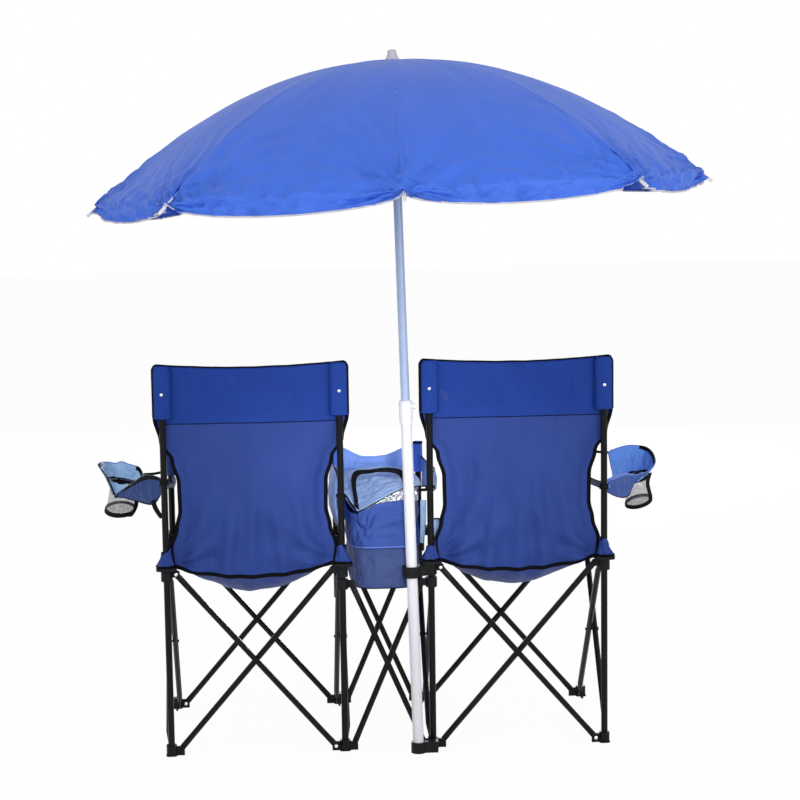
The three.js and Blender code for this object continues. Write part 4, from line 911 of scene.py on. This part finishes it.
# Console: the cloth between the two chairs with its cooler bag
console = {
    "strip": [[(-88, 376, 614), (-72, 377, 606), (-40, 378, 589), (-14, 378, 586), (24, 378, 589), (58, 378, 603),
               (88, 376, 616)],
              [(-88, 375, 590), (-70, 375, 584), (-40, 374, 574), (-14, 373, 571), (24, 374, 574), (58, 375, 582),
               (88, 375, 592)],
              [(-88, 374, 556), (-72, 366, 560), (-40, 350, 563), (-14, 345, 564), (24, 350, 563), (58, 366, 562),
               (88, 374, 560)],
              [(-86, 372, 540), (-76, 340, 553), (-44, 328, 563), (-14, 326, 565), (24, 328, 565), (62, 340, 558),
               (86, 372, 546)]],
    "lid": [[(-84, 326, 560), (-44, 327, 566), (-10, 327, 569), (28, 327, 568), (76, 326, 562)],
            [(-87, 250, 558), (-44, 252, 566), (-10, 252, 572), (28, 252, 571), (78, 250, 566)],
            [(-87, 160, 553), (-42, 160, 558), (-10, 160, 568), (32, 160, 572), (80, 160, 572)],
            [(-82, 90, 540), (-44, 86, 541), (-10, 84, 558), (34, 86, 575), (80, 92, 578)],
            [(-64, 40, 521), (-50, 38, 526), (-10, 38, 547), (38, 40, 570), (80, 52, 574)]],
    "rim": [(-90, 520), (-66, 518), (-57, 521), (-35, 531), (-20, 539), (0, 543), (37, 547), (71, 556), (90, 557)],
    "handle": [(-61, 34, 531), (-63, 46, 552), (-66, 62, 578), (-63, 76, 594), (-52, 82, 601), (-30, 82, 602),
               (-7, 82, 605), (20, 80, 604), (39, 78, 597), (47, 70, 580), (47, 60, 566)],
    "tieLeft": [(-96, -8, 566), (-86, 4, 564), (-76, 20, 546), (-66, 33, 530), (-60, 36, 518)],
    "tieRight": [(97, -8, 582), (88, 2, 574), (80, 20, 570), (72, 38, 566)],
    "restLeft": [[(-103, 366, 606), (-101, 300, 584), (-101, 150, 600), (-103, 60, 616), (-100, 12, 600)],
                 [(-106, 366, 585), (-110, 300, 560), (-114, 150, 562), (-114, 60, 574), (-104, 12, 572)],
                 [(-106, 366, 560), (-112, 300, 530), (-115, 150, 516), (-114, 60, 528), (-104, 12, 530)],
                 [(-103, 366, 540), (-105, 300, 505), (-105, 150, 480), (-102, 60, 482), (-101, 14, 498)]],
    "restRight": [[(104, 368, 586), (109, 300, 586), (114, 200, 592), (113, 100, 604), (101, 14, 604)],
                  [(105, 368, 562), (114, 300, 566), (119, 200, 575), (116, 100, 588), (104, 14, 592)],
                  [(105, 368, 536), (117, 300, 544), (122, 200, 558), (117, 100, 572), (104, 12, 580)],
                  [(104, 368, 512), (118, 300, 524), (123, 200, 541), (116, 100, 557), (104, 12, 568)]],
    "flapRight": [[(101, 12, 508), (112, 22, 507), (120, 34, 504)],
                  [(101, 13, 497), (113, 24, 496), (122, 38, 492)],
                  [(101, 14, 484), (113, 26, 480), (120, 36, 478)],
                  [(101, 16, 472), (106, 24, 470), (110, 30, 470)]],
    "wallRight": [[(77, 26, 546), (83, 32, 545), (90, 46, 542), (92, 90, 532)],
               [(77, 25, 500), (83, 31, 498), (89, 45, 495), (91, 90, 482)],
               [(76, 26, 452), (80, 31, 450), (84, 45, 448), (88, 90, 438)]],
}
bag = {"halfX": 76, "halfY": 147, "middleY": 177, "bottom": 346, "seam": 442, "corner": 4.5, "wallShare": 0.78,
       "inset": 0.985}


def bagSection(angle, halfX, halfY):
    c, s = math.cos(angle), math.sin(angle)
    power = 2 / bag["corner"]
    return halfX * math.copysign(abs(c) ** power, c), halfY * math.copysign(abs(s) ** power, s)


def bagRim(y):
    return 515 + (y - 30) / 292 * 52


# Upper band of the bag, from the seam to the rim; its rear top edge follows the lid
def bandPlace(a, b):
    angle = 2 * math.pi * a
    swell = 1 + 0.035 * ease((0.55 - b) / 0.5)
    flare = 8 * ease(b) if math.cos(angle) < 0 else 0
    x, y = bagSection(angle, bag["halfX"] * swell + flare, bag["halfY"] * swell)
    y += bag["middleY"]
    rear = ease((120 - y) / 85)
    top = between(bagRim(y), along(console["rim"], x, soften=False), rear)
    z = between(bag["seam"], top, b)
    sag = wrinkle((x, y, z), 0.03, 4.0, 8.0) * arch(min(max(b, 0.05), 0.95))
    hem = 1.6 * bell(b - 0.03, 0.05)
    out = Vector((x, y - bag["middleY"], 0)).normalized() * (sag + hem)
    return x + out.x, y + out.y, z


# Lower tub of the bag, closed at the bottom
def tubPlace(a, b):
    angle = 2 * math.pi * a
    down = min(b / bag["wallShare"], 1)
    inside = max(b - bag["wallShare"], 0) / (1 - bag["wallShare"])
    taper = 1 - 0.02 * down - 0.035 * ease((down - 0.85) / 0.15)
    x, y = bagSection(angle, bag["halfX"] * taper * bag["inset"] * (1 - inside),
                      bag["halfY"] * taper * bag["inset"] * (1 - inside))
    z = between(bag["seam"] + 4, bag["bottom"] + 3, ease(down) * 0.35 + down * 0.65) - 2.5 * arch(inside / 2)
    sag = wrinkle((x, y, z), 0.024, 9.0, 9.0) * arch(down)
    out = Vector((x, y, 0)).normalized() * sag if inside < 0.99 else Vector((0, 0, 0))
    return x + out.x, y + bag["middleY"] + out.y, z


def lidPlace(a, b):
    place = surfaceAt(console["lid"], a, b)
    soft = arch(a) * arch(min(b + 0.1, 1))
    place.z += wrinkle(place, 0.032, 2.0, 8.0) * soft
    place.z += math.sin(place.y * 0.11 + place.x * 0.035) * 1.3 * soft
    return place


def liningPlace(a, b):
    x = between(-46, 74, a)
    high = lidPlace(between(0.13, 0.96, a), 0.985)
    low = Vector((x, 40 + 8 * ease((x - 60) / 14), along(console["rim"], x, soften=False) - 14))
    place = low.lerp(Vector((high.x, high.y + 9, high.z - 1)), b)
    place.y += wrinkle(place, 0.09, 6.0, 6.0) * arch(b) + 3 * arch(b)
    return place


def stripPlace(a, b):
    place = surfaceAt(console["strip"], a, b)
    place.y += wrinkle(place, 0.045, 1.0, 9.0) * arch(b) * arch(a)
    return place


def restPlace(key, a, b):
    place = surfaceAt(console[key], a, b)
    place.x += wrinkle(place, 0.03, 5.0, 3.0) * arch(b)
    return place


def handlePlace(a, b):
    return metres(curveAt(console["handle"], a), x=0.010 * between(-1, 1, ease((a - 0.4) / 0.2)) * (b - 0.5),
                  y=0.004 * (b - 0.5), z=0.008 * (b - 0.5))


def makeBag():
    band = clothPiece("cooler_band", 160, 30, (0.86, 0.11), scaled(bandPlace), "bag", 0.0022, closed=True)
    tub = clothPiece("cooler_tub", 160, 44, (0.84, 0.13), scaled(tubPlace), "tub", 0.0022, closed=True)
    seam = tapePiece("cooler_seam", 160, (0.86, 0.004), lambda a, b: metres(bandPlace(a, 0.012 + 0.03 * b)),
                     "seamBand", 0.0034, closed=True)
    edge = tapePiece("cooler_bottom_edge", 160, (0.8, 0.006), lambda a, b: metres(tubPlace(a, 0.745 + 0.035 * b)),
                     thickness=0.003, closed=True)
    lining = clothPiece("cooler_lining", 90, 26, (0.16, 0.05), scaled(liningPlace), "foil", 0.0006)
    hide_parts("cooler_bag")
    foldDeep((band, tub, seam, edge, lining), "arm_post_right_inner", 0.25)


def makeLid():
    lid = clothPiece("cooler_lid_cloth", 60, 90, (0.155, 0.29), scaled(lidPlace), "lid", 0.003)
    edges = [
        tapePiece("cooler_lid_edge_rear", 70, (0.155, 0.010),
                  lambda a, b: metres(lidPlace(a, 1.004 - 0.018 * b), z=-0.0006), thickness=0.0026),
        tapePiece("cooler_lid_edge_left", 70, (0.29, 0.006), lambda a, b: metres(lidPlace(0.04 * b, a)), "lid"),
        tapePiece("cooler_lid_edge_right", 70, (0.29, 0.006), lambda a, b: metres(lidPlace(1 - 0.04 * b, a)), "lid"),
    ]
    handle = tapePiece("carry_handle_webbing", 90, (0.24, 0.024), handlePlace, "webbing", 0.0045)
    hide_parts("cooler_lid")
    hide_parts("carry_handle")
    foldDeep((lid, *edges, handle), "cooler_lid", 0.25)


def makeStrip():
    strip = clothPiece("console_strip", 70, 34, (0.19, 0.075), scaled(stripPlace), "strip", 0.0014)
    edge = tapePiece("console_strip_edge", 80, (0.19, 0.005),
                     lambda a, b: metres(stripPlace(a, 0.002 + 0.05 * b), y=-0.0004), "lid", 0.0026)
    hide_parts("centre_table")
    foldAway((strip, edge), "arm_post_right_inner", (1, 0, 0), at(innerX, 0, 0), 0.5)


def makeConsoleSide(word, strapHeight):
    x = cornerX[f"{word}_inner"]
    armPost = f"arm_post_{word}_inner"
    pocket = clothPiece(f"console_pocket_{word}", 30, 30, (0.06, 0.075),
                        lambda a, b: sleevePlace(x, chair["depth"], 0.548, 0.6165, 0.0028, a, b),
                        "pocket", 0.0014, closed=True)
    rim = tapePiece(f"console_pocket_edge_{word}", 40, (0.06, 0.004),
                    lambda a, b: sleevePlace(x, chair["depth"], 0.6135, 0.6175, 0.0034, a, b),
                    "tape", 0.0022, closed=True)
    shape = scaled(restPlace, f"rest{word.title()}")
    rest = clothPiece(f"console_rest_{word}", 70, 30, (0.36, 0.1), shape, "strip", 0.0014)
    edges = [tapePiece(f"console_rest_edge_{name}_{word}", 80, (0.36, 0.006),
                       lambda a, b: shape(a, between(low, high, b)))
             for name, low, high in (("top", 0, 0.07), ("low", 0.93, 1))]
    strap = tapePiece(f"console_strap_{word}", 40, (0.06, 0.012),
                      lambda a, b: sleevePlace(x, 0, strapHeight, strapHeight + 0.006, 0.0024, a, b),
                      "webbing", 0.0018, closed=True)
    tie = tapePiece(f"console_tie_{word}", 40, (0.07, 0.009),
                    lambda a, b: metres(curveAt(console[f"tie{word.title()}"], a), z=0.006 * (b - 0.5),
                                        y=0.003 * (b - 0.5)), "webbing", 0.002)
    foldDeep((rest, *edges), armPost, 0.22)
    for piece in (pocket, rim):
        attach(piece, armPost)
    for piece in (strap, tie):
        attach(piece, f"{word}_inner_rear")


def makeRightFlap():
    shape = scaled(surfaceAt, console["flapRight"])
    flap = clothPiece("console_flap_right", 24, 24, (0.03, 0.04), shape, "lid", 0.0014)
    edge = tapePiece("console_flap_edge_right", 40, (0.03, 0.005), lambda a, b: shape(a, 0.12 * b))
    side = tapePiece("console_flap_side_right", 40, (0.04, 0.005), lambda a, b: shape(1 - 0.16 * b, a))
    wall = clothPiece("console_wall_right", 24, 40, (0.13, 0.1), scaled(surfaceAt, console["wallRight"]), "lid",
                      0.0014)
    for piece in (flap, edge, side):
        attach(piece, "right_inner_rear")
    foldDeep((wall,), "arm_post_right_inner", 0.22)


makeBag()
makeLid()
makeStrip()
makeConsoleSide("left", 0.563)
makeConsoleSide("right", 0.577)
makeRightFlap()
print("console made")

# Stage and light: shown is the floor's share of white to seeing rays, plain the world's strength to the others
stage = {"floor": (0.93, 0.93, 0.93), "size": 24, "low": -0.0005, "shown": 0.95, "plain": 0.58}
lamps = [  # name, kind, place, target, size in metres or degrees, watts
    ("keyLamp", "AREA", (-3.0, -3.0, 2.6), (0, 0, 0.8), 2.6, 62),
    ("fillLamp", "AREA", (3.2, -3.4, 2.4), (0, 0, 0.8), 3.0, 98),
    ("middleLamp", "AREA", (0.15, -4.2, 1.7), (0, 0.2, 0.6), 1.0, 30),
    ("consoleLamp", "SPOT", (0.1, -4.3, 1.8), (0, 0.2, 0.57), 8, 750),
    ("frontLamp", "AREA", (0.6, 4.4, 0.7), (0, 0.2, 0.6), 1.2, 60),
]


def seenRays(tree, *others):  # rays that show the pale background instead of lighting by it
    path = addNode(tree, "ShaderNodeLightPath")
    seen = path.outputs["Is Camera Ray"]
    for name in others:
        seen = math2(tree, "MAXIMUM", seen, path.outputs[name])
    return seen


def makeFloor():
    bm = bmesh.new()
    bmesh.ops.create_grid(bm, x_segments=1, y_segments=1, size=stage["size"] / 2)
    bmesh.ops.translate(bm, verts=bm.verts, vec=(0, 0, stage["low"]))
    finishes["floor"], tree, shader = newMaterial("paleFloor", stage["floor"], 0.9)
    lit = addNode(tree, "ShaderNodeEmission", {"Color": (1, 1, 1, 1), "Strength": 1.0})
    shown = math2(tree, "MULTIPLY", seenRays(tree, "Is Glossy Ray"), stage["shown"])
    mixed = addNode(tree, "ShaderNodeMixShader", {0: shown, 1: shader.outputs[0], 2: lit.outputs[0]})
    tree.links.new(mixed.outputs[0], tree.nodes["Material Output"].inputs["Surface"])
    addPiece("floor", bm, "floor", smooth=False)


def makeWorld():
    world = bpy.data.worlds.new("studio")
    bpy.context.scene.world = world
    world.use_nodes = True
    tree = world.node_tree
    seen = seenRays(tree, "Is Glossy Ray", "Is Transmission Ray")
    strength = math2(tree, "ADD", math2(tree, "MULTIPLY", seen, 1 - stage["plain"]), stage["plain"])
    background = tree.nodes["Background"]
    background.inputs["Color"].default_value = (1, 1, 1, 1)
    tree.links.new(strength, background.inputs["Strength"])


def addLamp(name, kind, place, target, size, energy):
    lamp = bpy.data.objects.new(name, bpy.data.lights.new(name, kind))
    if kind == "AREA":
        lamp.data.size = size
    else:
        lamp.data.spot_size = math.radians(size)
        lamp.data.spot_blend = 1.0
        lamp.data.shadow_soft_size = 0.25
    lamp.data.energy = energy
    bpy.context.scene.collection.objects.link(lamp)
    lamp.location = at(*place)
    direction = at(*target) - lamp.location
    lamp.rotation_euler = direction.to_track_quat("-Z", "Y").to_euler()


makeFloor()
makeWorld()
for lamp in lamps:
    addLamp(*lamp)
bpy.context.scene.view_settings.view_transform = "Standard"
print("stage made")
